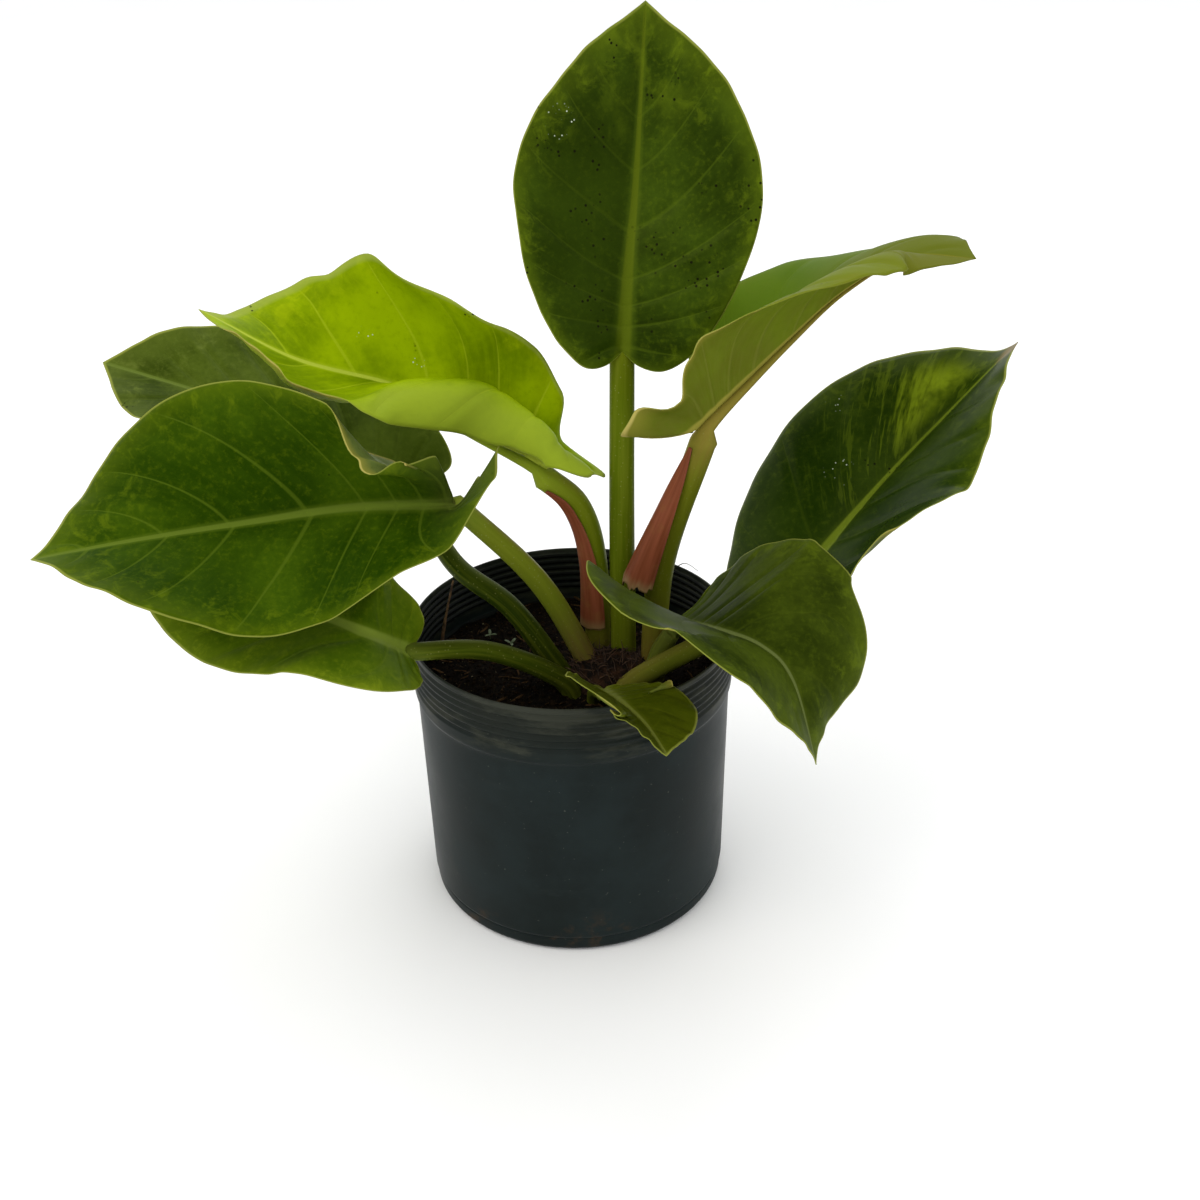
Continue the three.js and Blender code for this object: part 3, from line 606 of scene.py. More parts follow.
# %% [markdown]
# ### The blade's surface
#
# A blade could be modelled flat and bent by hand, but nine of them would take nine sittings. Here
# one function gives any point of any blade: t runs along the margin from notch to tip, v from the
# midrib to the margin. Lines of equal t then lie along the side veins, so the veins, the quilting
# between them and the wavy margin all follow the leaf, however it is folded.

# %% Any point of a blade
OUTLINE = smooth_line(HALF_OUTLINE)
OUTLINE_MEASURE = OUTLINE * (OUTLINE_WIDTH_WEIGHT, 1)


def along_blade(values, y):
    """A value given at equal steps from base to tip, on the smooth line through all of them."""
    steps = len(values) - 1
    return np.polyval(np.polyfit(range(steps + 1), values, steps), np.clip(y, 0, 1) * steps)


def pull_at(pull, t):
    """How far the margin is drawn away at t, eased between the places where that is given."""
    pull = np.asarray(pull, float)
    place, move = pull[:, 0], pull[:, 1:]
    k = np.clip(np.searchsorted(place, t, side="right") - 1, 0, len(place) - 2)
    share = np.clip((t - place[k]) / (place[k + 1] - place[k]), 0, 1)
    share = share * share * (3 - 2 * share)
    return move[k] + (move[k + 1] - move[k]) * share[:, None]


def blade_frame(leaf, y):
    """Places on the midrib, and the directions out of the upper side and to the right."""
    line = smooth_line(leaf["midrib"])
    u = np.clip(y, 0, 1)
    along = direction(line, u)
    place = on_line(line, u) + along * ((y - u) * lengths(line)[-1])[:, None]
    faces = np.asarray(leaf["face"], float)
    step = u * (len(faces) - 1)
    k = np.minimum(step.astype(int), len(faces) - 2)
    up = faces[k] + (faces[k + 1] - faces[k]) * (step - k)[:, None]
    up = unit(up - (up * along).sum(1, keepdims=True) * along)
    return place, up, np.cross(along, up)


def blade_points(leaf, side, t, v):
    """Points of one half of the blade. Side is -1 for the left half and 1 for the right."""
    k = 0 if side < 0 else 1
    edge = on_line(OUTLINE, t, OUTLINE_MEASURE)
    edge_y = np.where(edge[:, 1] < 0, edge[:, 1] * leaf["lobe"][k], edge[:, 1])
    rib_y = t ** RIB_POWER
    y = rib_y + (edge_y - rib_y) * v ** SWEEP_POWER
    x = edge[:, 0] * v
    place, up, right = blade_frame(leaf, y)
    fold = np.radians(along_blade(leaf["fold"][k], y))
    curl = np.radians(along_blade(leaf["curl"][k], y))
    curl = np.where(np.abs(curl) < LEAST_CURL, LEAST_CURL, curl)
    reach = leaf["half_width"][k] / curl
    across = reach * (np.sin(fold + curl * x) - np.sin(fold))
    lift = reach * (np.cos(fold) - np.cos(fold + curl * x))
    points = place + right * (side * across)[:, None] + up * lift[:, None]
    if "pull" in leaf:
        points = points + pull_at(leaf["pull"][k], t) * (v ** PULL_POWER)[:, None]
    return points


# %% [markdown]
# ### Relief, thickness and measures
#
# The blade is a grid of points on that surface, moved a little along its own normals: up between
# the side veins, down along them, and in slow waves towards the margin. Two copies, less than a
# millimetre apart and closer at the margin, are joined into one closed skin. The grid also knows
# what no texture could: how far each point is from the midrib, from the margin and from the
# nearest vein. It keeps these as attributes for the material.

# %% The blade as a grid
BLADE_ROWS = 132
BLADE_COLUMNS = 26  # on each side of the midrib
BLADE_THICKNESS = 0.9
MARGIN_THICKNESS = 0.45
MARGIN_REACH = 6  # the blade thins out over this width
SIDE_VEINS = 9  # on each half
FIRST_VEIN = {-1: 0.5, 1: 0.28}  # the two halves don't mirror each other
QUILT_HEIGHT = 0.55  # how far the blade bulges between its veins
QUILT_FROM_RIB = 10
QUILT_FROM_MARGIN = 9
VEIN_WIDTH = 2.6
GULLY_DEPTH = 0.7  # the midrib's channel on the upper side
GULLY_WIDTH = 3.0
WAVES = [(1.1, 21, 2.1, 1), (0.66, 43, 3.7, -2), (0.385, 83, 1, 0)]  # height, count, turn, lean


def grid_normals(grid):
    """Normals of a grid of points, out of the upper side."""
    down = np.gradient(grid, axis=0)
    down[0], down[-1] = down[1], down[-2]
    over = np.gradient(grid, axis=1)
    over[0], over[-1] = over[1], over[-2]
    return unit(np.cross(over, down))


def vein_phase(t, v, side, turn):
    """Counts the side veins along the margin, with the small irregularity of a grown leaf."""
    uneven = 0.16 * np.sin(1.7 * t * SIDE_VEINS + turn) + 0.1 * np.sin(3 * v + turn * 2 + side)
    return SIDE_VEINS * t + FIRST_VEIN[side] + uneven


def blade_grid(leaf, turn):
    """The blade's middle surface as a grid, with its measures at each point."""
    t, c = np.meshgrid(np.linspace(0, 1, BLADE_ROWS + 1),
                       np.linspace(-1, 1, 2 * BLADE_COLUMNS + 1), indexing="ij")
    v = np.abs(c)
    points = np.empty((*t.shape, 3))
    phase = np.empty(t.shape)
    for side, part in ((-1, c < 0), (1, c >= 0)):
        points[part] = blade_points(leaf, side, t[part], v[part])
        phase[part] = vein_phase(t[part], v[part], side, turn)
    open_x = on_line(OUTLINE, t.ravel(), OUTLINE_MEASURE)[:, 0].reshape(t.shape)
    half = np.where(c < 0, *leaf["half_width"]) * open_x
    rib, edge = half * v, half * (1 - v)
    normals = grid_normals(points)
    over = unit(np.gradient(points, axis=1))
    spacing = np.linalg.norm(np.cross(np.gradient(points, axis=0), over), axis=2)
    per_vein = spacing * BLADE_ROWS / SIDE_VEINS
    nearest = np.abs(phase - np.round(phase)) * per_vein
    shy = np.clip(rib / QUILT_FROM_RIB, 0, 1) * np.clip(edge / QUILT_FROM_MARGIN, 0, 1)
    quilt = QUILT_HEIGHT * (1 - 2 * np.exp(-(nearest / VEIN_WIDTH) ** 2)) * shy
    gully = -GULLY_DEPTH * np.exp(-(rib / GULLY_WIDTH) ** 2) * np.clip(1.1 - t, 0, 1)
    free = v ** 3 * np.clip(t * 6, 0, 1) * np.clip((1 - t) * 8, 0, 1)
    waves = free * sum(height * np.sin(count * t + shift * turn + lean * c)
                       for height, count, shift, lean in WAVES)
    points = points + normals * (quilt + gully + waves)[..., None]
    return points, grid_normals(points), dict(
        leaf_t=t, leaf_v=c, rib_mm=rib, edge_mm=edge, vein_phase=phase, vein_mm=per_vein)


# %% Close the skins


def closed_skin(name, middle, lift, fields):
    """A closed skin on both sides of a grid of points. Material 1 lies on its back."""
    rows, columns = middle.shape[:2]
    count = rows * columns
    cell = np.arange(count).reshape(rows, columns)
    top = quads(cell)
    rim = np.concatenate([cell[0], cell[1:, -1], cell[-1, -2::-1], cell[-2:0:-1, 0]])
    after = np.roll(rim, -1)
    sides = np.stack([rim, rim + count, after + count, after], -1)
    faces = np.concatenate([top, top[:, ::-1] + count, sides])
    made = mesh_object(name, np.concatenate([middle + lift, middle - lift]).reshape(-1, 3),
                       faces.tolist())
    for key, values in fields.items():
        layer = made.data.attributes.new(key, "FLOAT", "POINT")
        layer.data.foreach_set("value", np.tile(values.ravel(), 2).astype(np.float32))
    back = np.repeat([0, 1, 0], [len(top), len(top), len(sides)])
    made.data.polygons.foreach_set("material_index", back.astype(np.int32))
    return made


def make_blade(name, leaf, turn):
    points, normals, fields = blade_grid(leaf, turn)
    inside = np.clip(fields["edge_mm"] / MARGIN_REACH, 0, 1)
    thick = MARGIN_THICKNESS + (BLADE_THICKNESS - MARGIN_THICKNESS) * inside
    return closed_skin(name + "_blade", points, normals * thick[..., None] / 2, fields)


blades = {name: make_blade(name, leaf, turn) for turn, (name, leaf) in enumerate(LEAVES.items())}
print("blades:", {name: len(blade.data.vertices) for name, blade in blades.items()})

# %% [markdown]
# ### The upper skin
#
# A waxy leaf is not one green. The old leaves are deep green with a fresh yellow-green mottle that
# gathers towards the margin; the veins and the broad midrib are paler, and a thin pale line runs
# round the margin. The youngest leaf is chartreuse all over, and the folded one has turned olive.
# The material reads the measures kept on the mesh, so a two-millimetre vein is two millimetres
# wide on every leaf.

# %% Leaf colours
LOOK_KEYS = ("deep fresh mottle vein rib under stalk_foot stalk_middle stalk_top "
             "mottling veins sheen gloss specks").split()
LOOKS = {
    "leaf_back_upright": ("#1d2d03 #35480a #5c6e10 #4a5c10 #4e5c0e #5f6c34 #5f6810 #56660a #5c660e",
                          0.65, 0.4, 0.34, 0.09, 1.0),
    "leaf_right_folded": ("#5a7010 #728a18 #8a7f2c #8b9a30 #98923c #636a1c #76602a #6a7016 #8a7a34",
                          0.3, 0.3, 0.45, 0.02, 0.2),
    "leaf_right_broad": ("#1a2d03 #2d3f0a #5f7014 #3c4d0c #6a7a1e #5a6232 #6e6428 #626a1c #6c7a2c",
                         0.4, 0.3, 0.32, 0.09, 0.15),
    "leaf_front_right": ("#222d06 #3d4a0e #5b6b14 #434f12 #5c6634 #a39e4c #6a5430 #5c6424 #5e6a2c",
                         0.5, 0.25, 0.45, 0.01, 0.1),
    "leaf_front_small": ("#3b4506 #50580c #646f14 #5a6416 #6c7430 #6c7a34 #5c5c1c #4e5a12 #6a7430",
                         0.3, 0.25, 0.38, 0.04, 0.0),
    "leaf_left_young": ("#667f00 #92aa02 #a3b40c #a4b61e #a9b83a #86982a #6c6020 #66740e #8a9c26",
                        0.4, 0.45, 0.45, 0.025, 0.3),
    "leaf_left_large": ("#1f3701 #374f05 #61730c #546816 #5a6c20 #5a6830 #80663a #69741a #667a24",
                        0.6, 0.5, 0.4, 0.035, 0.1),
    "leaf_left_rear": ("#2c3b06 #4a5a16 #68762e #50601c #5e6e2a #586632 #343e0a #263606 #4c5c1c",
                       0.5, 0.3, 0.42, 0.05, 0.1),
    "leaf_left_low": ("#354e03 #4d630a #7c8c18 #5e7214 #74862e #5c6a30 #363c0a #384608 #66782a",
                      0.55, 0.3, 0.4, 0.06, 0.1),
}
LOOKS = {name: SimpleNamespace(**dict(zip(LOOK_KEYS, (*colours.split(), *amounts))))
         for name, (colours, *amounts) in LOOKS.items()}
MARGIN_COLOUR = "#8e9440"
SPECK_COLOUR = "#0b0d05"
GLINT_COLOUR = "#c9d2bd"
GLINTS = {  # the middle of each patch of painted glints and its reach
    "leaf_back_upright": [(1, 65, 529, 13), (35, 60, 500, 9)],
    "leaf_left_young": [(-133, 66, 392, 7), (-99, 57, 375, 7)],
    "leaf_right_broad": [(191, 96, 325, 9), (188, 51, 291, 12)],
}
GLOSS_TINT = rgb("#d8e070")  # the sheen is a little greener than the sky it mirrors


class LeafFinish(Finish):
    """A leaf's material, with the measures that its mesh keeps."""

    def __init__(self, name, first):
        super().__init__(name, first)
        self.along, self.over, self.rib, self.edge, phase, per_vein = map(self.attribute, (
            "leaf_t", "leaf_v", "rib_mm", "edge_mm", "vein_phase", "vein_mm"))
        self.vein = self.times(self.math("PINGPONG", phase, 0.5), per_vein)
        self.threads = self.noise(1.0, 3.0, 0.6, at=self.join(
            self.times(phase, 7.0), self.times(self.over, 3.0)))

    def vein_lines(self, width):
        """1 on the side veins and 0 between them. They thin out towards the margin."""
        wide = self.band(self.math("ABSOLUTE", self.over), 0.0, 1.0, width, width * 0.35)
        return self.times((self.math("DIVIDE", self.vein, wide), 1.0, 0.25),
                          (self.edge, 1.0, 10.0))

    def rib_line(self, broad, narrow):
        """1 on the midrib, which narrows from the base to the tip."""
        wide = self.band(self.along, 0.1, 1.0, broad, narrow)
        return self.band(self.math("DIVIDE", self.rib, wide), 1.1, 0.6)


# %% [markdown]
# Some leaves have marks that no other has. Each of these gets a function of its own, which paints
# on the skin before the specks and the painted glints.

# %% Marks of single leaves


def upright_marks(m, look):
    """A darker left half and a blotched head."""
    m.paint(look.deep, (m.over, 0.0, -0.15), 0.6, (m.edge, 6.0, 26.0))
    m.paint(look.mottle, (m.along, 0.72, 0.92), (m.noise(34.0, 5.0, 0.6), 0.42, 0.62), 0.6)


def broad_marks(m, look):
    """A ragged pale patch on the left half, fine streaks before it, and a dry tip."""
    left = m.band(m.over, 0.04, -0.12)
    ragged = m.math("ADD", m.along, m.times(m.threads, 0.22))
    m.paint("#7c8e18", left, (m.edge, 2.0, 14.0), (m.rib, 3.0, 20.0), (ragged, 0.84, 0.94),
            (m.noise(34.0, 4.0, 0.6), 0.34, 0.54, 0.3, 1.0))
    m.paint("#5f7016", left, (m.along, 0.5, 0.7), (m.threads, 0.54, 0.62), 0.4)
    m.paint("#7a6a3c", (m.along, 0.955, 0.975))


def young_marks(m, look):
    """The rolled-up margin shows its paler side, and so does the line along the far one."""
    m.paint("#84952a", (m.over, -0.45, -0.75), (m.along, 0.06, 0.12), (m.along, 0.62, 0.5), 0.8)
    m.paint("#93a044", (m.over, 0.1, 0.3), (m.edge, 5.0, 2.5), 0.6)


def folded_marks(m, look):
    """Darker green painted in the hollow of the far half as shade, olive on the near one, browned
    at the end.
    """
    # painted shade: the hollow of the fold on the far half is darkened in the colour
    m.paint("#4c680a", (m.over, 0.0, -0.2), 0.75)
    m.paint("#666c1c", (m.over, 0.0, 0.2), (m.along, 0.3, 0.5), 0.7)
    m.paint("#5f621a", (m.along, 0.62, 0.85), 0.75)


def large_marks(m, look):
    """Olive towards the stalk, and one brown spot."""
    m.paint("#4a5022", (m.along, 0.34, 0.06), 0.5)
    m.paint("#4a3a1c", m.spot((-228, -112, 262), 6, 2))


MARKS = {"leaf_back_upright": upright_marks, "leaf_right_broad": broad_marks,
         "leaf_left_young": young_marks, "leaf_right_folded": folded_marks,
         "leaf_left_large": large_marks}
print("leaves with marks of their own:", list(MARKS))

# %% Upper skin


def upper_skin(name, look):
    """Waxy green: mottled towards the margin, with pale veins, midrib and margin line."""
    m = LeafFinish(name + "_upper_skin", look.deep)
    cloud = m.noise(16.0, 5.0, 0.55)
    m.paint(look.fresh, (cloud, 0.36, 0.66))
    m.paint(look.fresh, (m.threads, 0.35, 0.75), 0.35)
    cells = m.noise(260.0, 4.0, 0.65)
    m.paint(look.mottle, (cells, 0.48, 0.75), 0.4 * look.mottling)
    m.paint(look.deep, (cells, 0.50, 0.28), 0.3)
    patches = m.noise(62.0, 6.0, 0.7, 0.6)
    m.paint(look.mottle, (m.edge, 34.0, 3.0), (patches, 0.5, 0.68), look.mottling)
    m.paint(look.mottle, (m.edge, 14.0, 0.0), 0.5 * look.mottling)
    m.paint(look.vein, m.vein_lines(1.6), look.veins)
    m.paint(look.vein, m.rib_line(10.0, 3.2), 0.4)
    m.paint(look.rib, m.rib_line(6.4, 1.6))
    m.paint(MARGIN_COLOUR, (m.edge, 1.1, 0.3), 0.8)
    if name in MARKS:
        MARKS[name](m, look)
    if look.specks:
        common = 0.68 - 0.14 * look.specks
        m.paint(SPECK_COLOUR, (m.dots(230.0), 0.24, 0.16),
                (m.noise(30.0, 2.0), common, common + 0.06))
    # painted highlights: white glints painted into the colour at the places in GLINTS
    for *middle, reach in GLINTS.get(name, []):
        m.paint(GLINT_COLOUR, (m.dots(330.0), 0.22, 0.1), m.spot(middle, reach, reach * 0.6))
    relief = m.math("SUBTRACT", m.times(m.threads, 0.2), m.times(m.vein_lines(1.5), 2 * look.veins))
    height = m.math("ADD", relief, m.times(m.noise(420.0, 3.0), 0.35))
    return m.finish((cloud, 0.3, 0.7, look.sheen - 0.05, look.sheen + 0.08), height, 0.4, 0.35,
                    Specular_IOR_Level=look.gloss, Specular_Tint=GLOSS_TINT)


# %% [markdown]
# ### The underside
#
# Turned-up halves show that the lower skin is paler, greyer and matt, with veins that stand out
# and a golden rim. It is a material of its own on the lower faces.

# %% Lower skin


def lower_skin(name, look):
    """Pale matt green with raised veins and a golden rim."""
    m = LeafFinish(name + "_lower_skin", look.under)
    cloud = m.noise(20.0, 5.0, 0.6)
    m.paint(look.fresh, (cloud, 0.3, 0.75), 0.5)
    m.paint("#8c9048", (m.threads, 0.35, 0.75), 0.1)
    m.paint(look.deep, (m.noise(240.0, 4.0, 0.65), 0.5, 0.3), 0.3)
    m.paint("#8a8c40", m.vein_lines(1.8), 0.2)
    m.paint("#8a8434", (m.edge, 10.0, 0.0), 0.65)
    m.paint(look.rib, m.rib_line(5.5, 1.0))
    m.paint("#b3a65a", (m.edge, 1.6, 0.6))
    height = m.math("ADD", m.times(m.vein_lines(1.6), 0.5), m.times(m.threads, 0.4))
    return m.finish((cloud, 0.3, 0.7, 0.5, 0.62), height, 0.5, 0.7,
                    Specular_IOR_Level=look.gloss / 2, Specular_Tint=GLOSS_TINT)


LEAF_SLOTS = {"leaf_right_folded": "olive_leaf", "leaf_left_young": "young_leaf"}
for name, blade in blades.items():
    blade.data.materials.append(upper_skin(name, LOOKS[name]))
    blade.data.materials.append(lower_skin(name, LOOKS[name]))
    close_seams(blade, 0.01)
    settle(blade, LEAF_SLOTS.get(name, "green_leaf"), name)

# %% [markdown]
# ### Stalks
#
# A petiole is a firm round stalk that runs on under the blade as its keel. Both follow a path, so
# one Geometry Nodes tree grows them all: it turns a line of points into a curve, sets the radius
# from the foot to the blade and on to the tip, sweeps a round section along it and keeps how far
# along and how far round each point lies, for the material.

# %% The stalk's tree
KEEL_END = 0.93
KEEL_TIP_RADIUS = 0.5
KEEL_POWER = 0.2
STALK_LIFT = 0.75  # the stalk stands proud of the blade's upper side at its base
KEEL_SINK = 0.15  # and lies below it further on
SINK_AT = 0.22


def stalk_tree():
    """Sweeps a round section along a line, thinner from the foot to the blade and to the tip."""
    t = Growth("stalk_along_a_path", foot_radius=8 * MM, blade_radius=6.5 * MM,
               tip_radius=KEEL_TIP_RADIUS * MM, petiole_share=0.5, sides=24)
    share = t.geo("SplineParameter", out="Factor")
    first = t.shader("MapRange", {0: share, 1: 0.0, 2: t.petiole_share, 3: t.foot_radius,
                                  4: t.blade_radius})
    rest = t.shader("MapRange", {0: share, 1: t.petiole_share, 2: 1.0, 3: 0.0, 4: 1.0})
    taper = t.times(t.math("POWER", rest, KEEL_POWER),
                    t.math("SUBTRACT", t.tip_radius, t.blade_radius))
    path = t.geo("StoreNamedAttribute", Geometry=t.geo("MeshToCurve", Mesh=t.geometry),
                 Name="stalk_share", Value=share, domain="POINT")
    ring = t.geo("CurvePrimitiveCircle", Resolution=t.sides, Radius=1.0)
    section = t.geo("StoreNamedAttribute", Geometry=ring, Name="stalk_round",
                    Value=t.geo("SplineParameter", out="Factor"), domain="POINT")
    swept = t.geo("CurveToMesh", Curve=path, Profile_Curve=section, Fill_Caps=True,
                  Scale=t.math("ADD", first, taper))
    return t.finish(t.geo("SetShadeSmooth", Geometry=swept))


STALK_TREE = stalk_tree()
print("inputs of the stalk's tree:", [item.name for item in STALK_TREE.tree.interface.items_tree])

# %% [markdown]
# The stalks are green above and flush pinkish brown towards the foot and where the light falls on
# them, with soft ridges along them and small pale lenticels. Colour by place along the stalk does
# most of it.

# %% Stalk finish
STALK_GLOSS = 0.06
RIDGE_TURNS = 2.2  # how finely the ridges follow each other round the stalk
RIDGE_LENGTH = 5.0


def stalk_skin(name, look, petiole):
    """Firm green stalk with soft ridges. Petiole is the share of its length below the blade."""
    m = Finish(name + "_stalk_skin", look.stalk_middle)
    share = m.attribute("stalk_share")
    angle = m.times(m.attribute("stalk_round"), 2 * math.pi)
    ridges = m.noise(1.6, 2.0, 0.5, at=m.join(
        m.times(m.math("SINE", angle), RIDGE_TURNS), m.times(m.math("COSINE", angle), RIDGE_TURNS),
        m.times(share, RIDGE_LENGTH)))
    m.paint(look.stalk_foot, (share, petiole * 0.45, 0.0))
    m.paint(look.stalk_top, (share, petiole * 0.8, petiole * 1.05))
    m.paint("#7c8426", (ridges, 0.35, 0.7), 0.3)
    facing = m.upward(m.shader("NewGeometry", out="Normal"))
    m.paint(look.stalk_foot, (facing, 0.3, 0.9), 0.6, (share, petiole * 1.05, petiole * 0.9))
    cloud = m.noise(40.0, 4.0, 0.6)
    m.paint("#4a5410", (cloud, 0.5, 0.8), 0.25)
    m.paint("#98985a", (m.dots(320.0), 0.2, 0.1), 0.3)
    return m.finish((cloud, 0.3, 0.7, 0.36, 0.5), ridges, 0.2, 0.3,
                    Specular_IOR_Level=STALK_GLOSS, Specular_Tint=GLOSS_TINT)


# %% Grow the stalks
PETIOLE_POINTS = 46
KEEL_POINTS = 34


def petiole_line(leaf):
    """From the foot to just under the base of the blade."""
    place, up, _ = blade_frame(leaf, np.array([0.0]))
    top = place[0] + up[0] * (STALK_LIFT - leaf["radius"][1])
    return smooth_line([*leaf["petiole"], tuple(top)])


def stalk_path(leaf):
    """The petiole's line and then the keel's, and the share of the length that is petiole."""
    petiole = petiole_line(leaf)
    first = on_line(petiole, np.arange(PETIOLE_POINTS) / PETIOLE_POINTS)
    share = np.linspace(0, 1, KEEL_POINTS)
    radius = leaf["radius"][1] + (KEEL_TIP_RADIUS - leaf["radius"][1]) * share ** KEEL_POWER
    place, up, _ = blade_frame(leaf, share * KEEL_END)
    sink = (STALK_LIFT + KEEL_SINK) * np.clip(share / SINK_AT, 0, 1) + GULLY_DEPTH * (1 - share)
    keel = place + up * (STALK_LIFT - sink - radius)[:, None]
    path = np.vstack([first, keel])
    return path, lengths(petiole)[-1] / lengths(path)[-1]


for name, leaf in LEAVES.items():
    path, petiole_share = stalk_path(leaf)
    foot, top = leaf["radius"]
    stalk = STALK_TREE.grow(name + "_stalk", line_object(name + "_stalk", path),
                            foot_radius=foot * MM, blade_radius=top * MM,
                            petiole_share=petiole_share,
                            material=stalk_skin(name, LOOKS[name], petiole_share))
    close_seams(stalk, 0.01)
    settle(stalk, LEAF_SLOTS.get(name, "green_leaf"), name)

# %% [markdown]
# ## Soil and stem
#
# Peat fills the pot to about four centimetres under the rim. A turned body with a rough top would
# look like a cake, so the top carries loose bits as well: one Geometry Nodes tree scatters the
# crumbs, the longer bark fibres and the pale grains.

# %% Turned bodies
SOIL_TOP = 162
SOIL_WAVE = 1.6
SOIL_MOUND = 5
SOIL_MOUND_REACH = 51
STEM_CENTRE = (26, -7)


def turned(name, profile, segments, centre=(0, 0)):
    """A body of revolution round a vertical axis, from its lowest point to its highest."""
    angles = np.arange(segments) * 2 * math.pi / segments
    points = [(centre[0] + r * math.cos(a), centre[1] + r * math.sin(a), z)
              for r, z in profile for a in angles]
    return mesh_object(name, points, tube(len(profile), segments).tolist())


def rough(x, y, z, scale, seed):
    """A repeatable rough number near zero at a place."""
    return field.fractal(Vector((x / scale + seed, y / scale, z / scale)), 0.9, 2.1, 4)


def soil_height(x, y):
    """The level of the soil without its crumbs: low waves, and a mound round the stem."""
    slant = 0.6 * math.sin(0.17 * x - 0.13 * y)
    waves = math.sin(0.09 * x + 1.3) * math.cos(0.11 * y) + slant
    away = math.hypot(x - STEM_CENTRE[0], y - STEM_CENTRE[1]) / SOIL_MOUND_REACH
    return SOIL_TOP + SOIL_WAVE * waves + SOIL_MOUND * math.exp(-away ** 2)


def move_points(piece, change):
    """Moves each point of the mesh by a rule in millimetres."""
    for vertex in piece.data.vertices:
        vertex.co = Vector(change(*(vertex.co / MM))) * MM


# %% Soil finish


def potting_soil():
    """Dark damp peat: nearly black with brown crumbs and a few pale grains."""
    m = Finish("potting_soil", "#080604")
    crumb = m.noise(240.0, 5.0, 0.7)
    m.paint("#1a130b", (crumb, 0.4, 0.7))
    m.paint("#5c5138", (m.noise(900.0, 1.0), 0.72, 0.76))
    height = m.math("ADD", crumb, m.noise(1100.0, 2.0))
    return m.finish(0.95, height, 1.2, 0.9, Specular_IOR_Level=0.05)


def bit_material(name, dark, light):
    """Bits of peat and bark, each with its own tone."""
    m = Finish(name, dark)
    m.paint(light, (m.attribute("bit_tone"), 0.2, 1.0))
    grain = m.noise(700.0, 3.0)
    m.paint(dark, (grain, 0.4, 0.7), 0.5)
    return m.finish(0.95, grain, 0.4, 0.7, Specular_IOR_Level=0.05)


# %% [markdown]
# Crumbs on the soil and fibres on the stem are both bits set out at random on a surface, each
# with a size and a tone of its own. They share the part that picks the places and the part that
# sets them out.

# %% The scattering trees
TURN = 6.28
FIBRE_SIDES = 3


def random_number(t, low, high):
    return t.add("FunctionNodeRandomValue", {2: low, 3: high, "Seed": t.seed}, 1)


def random_turn(t, low, high):
    return t.add("FunctionNodeRandomValue", {0: low, 1: high, "Seed": t.seed},
                 data_type="FLOAT_VECTOR")


def places(t, *conditions):
    """A node that gives random points on the surface above the lowest level, and their tilt."""
    high = t.math("GREATER_THAN", t.upward(t.geo("InputPosition")), t.lowest)
    return t.geo("DistributePointsOnFaces", out=None, Mesh=t.geometry, Density=t.density,
                 Selection=t.times(high, *conditions), Seed=t.seed)


def set_out(t, points, bit, rotation, smallest, largest):
    """Puts one bit on each point and gives it a tone."""
    bits = t.geo("InstanceOnPoints", Points=points.outputs["Points"], Instance=bit,
                 Rotation=rotation, Scale=random_number(t, smallest, largest))
    return t.finish(t.geo("StoreNamedAttribute", Geometry=bits, Name="bit_tone",
                          Value=random_number(t, 0.0, 1.0), domain="INSTANCE"))


def scatter_tree():
    """Strews small flattened balls on the faces that look up."""
    t = Growth("scattered_bits", density=20000.0, size=1 * MM, stretch=1.0, lowest=0.15, seed=1)
    points = places(t, t.math("GREATER_THAN", t.upward(t.geo("InputNormal")), 0.3))
    ball = t.geo("MeshIcoSphere", Radius=t.size, Subdivisions=1)
    bit = t.geo("Transform", Geometry=ball, Scale=t.join(t.stretch, 1.0, 0.6))
    return set_out(t, points, bit, random_turn(t, (0, -0.5, 0), (TURN, 0.5, TURN)), 0.35, 1.6)


def fibre_tree():
    """Grows thin bent threads out of the surface, leaned at random."""
    t = Growth("fibres_on_a_surface", density=60000.0, length=12 * MM, thickness=0.4 * MM,
               lowest=0.16, seed=1)
    points = places(t)
    middle = t.join(t.times(t.length, 0.35), 0.0, t.times(t.length, 0.5))
    end = t.join(t.times(t.length, 0.9), 0.0, t.times(t.length, 0.6))
    thread = t.geo("CurveQuadraticBezier", Resolution=4, Start=(0, 0, 0), Middle=middle, End=end)
    share = t.geo("SplineParameter", out="Factor")
    taper = t.times(t.math("SUBTRACT", 1.05, share), t.thickness)
    ring = t.geo("CurvePrimitiveCircle", Resolution=FIBRE_SIDES, Radius=1.0)
    fibre = t.geo("CurveToMesh", Curve=thread, Profile_Curve=ring, Scale=taper, Fill_Caps=True)
    turned_by = t.add("FunctionNodeRotateRotation", rotation_space="LOCAL",
                      Rotation=points.outputs["Rotation"],
                      Rotate_By=random_turn(t, (-0.5, -0.5, 0), (0.5, 0.5, TURN)))
    return set_out(t, points, fibre, turned_by, 0.4, 1.3)


# %% Make the soil
SOIL_FLOOR = 2.6
SOIL_FLOOR_RADIUS = 98
SOIL_ROOM = 0.7  # between the soil and the pot's wall
SOIL_SEGMENTS = 150
SOIL_RINGS = 46
SOIL_LUMPS = [(1.5, 0, 7, 3), (0.8, 5, 2.4, 9)]  # height, level of the noise, size, seed
BITS = {  # how many, their size and stretch, the seed, the dark and the light tone
    "soil_crumbs": (68000.0, 1.1, 1.3, 4, "#070504", "#20170d"),
    "bark_fibres": (9000.0, 0.75, 7.0, 11, "#18100a", "#4a3722"),
    "pale_grains": (1600.0, 0.7, 1.0, 23, "#3a3526", "#8c8468"),
}


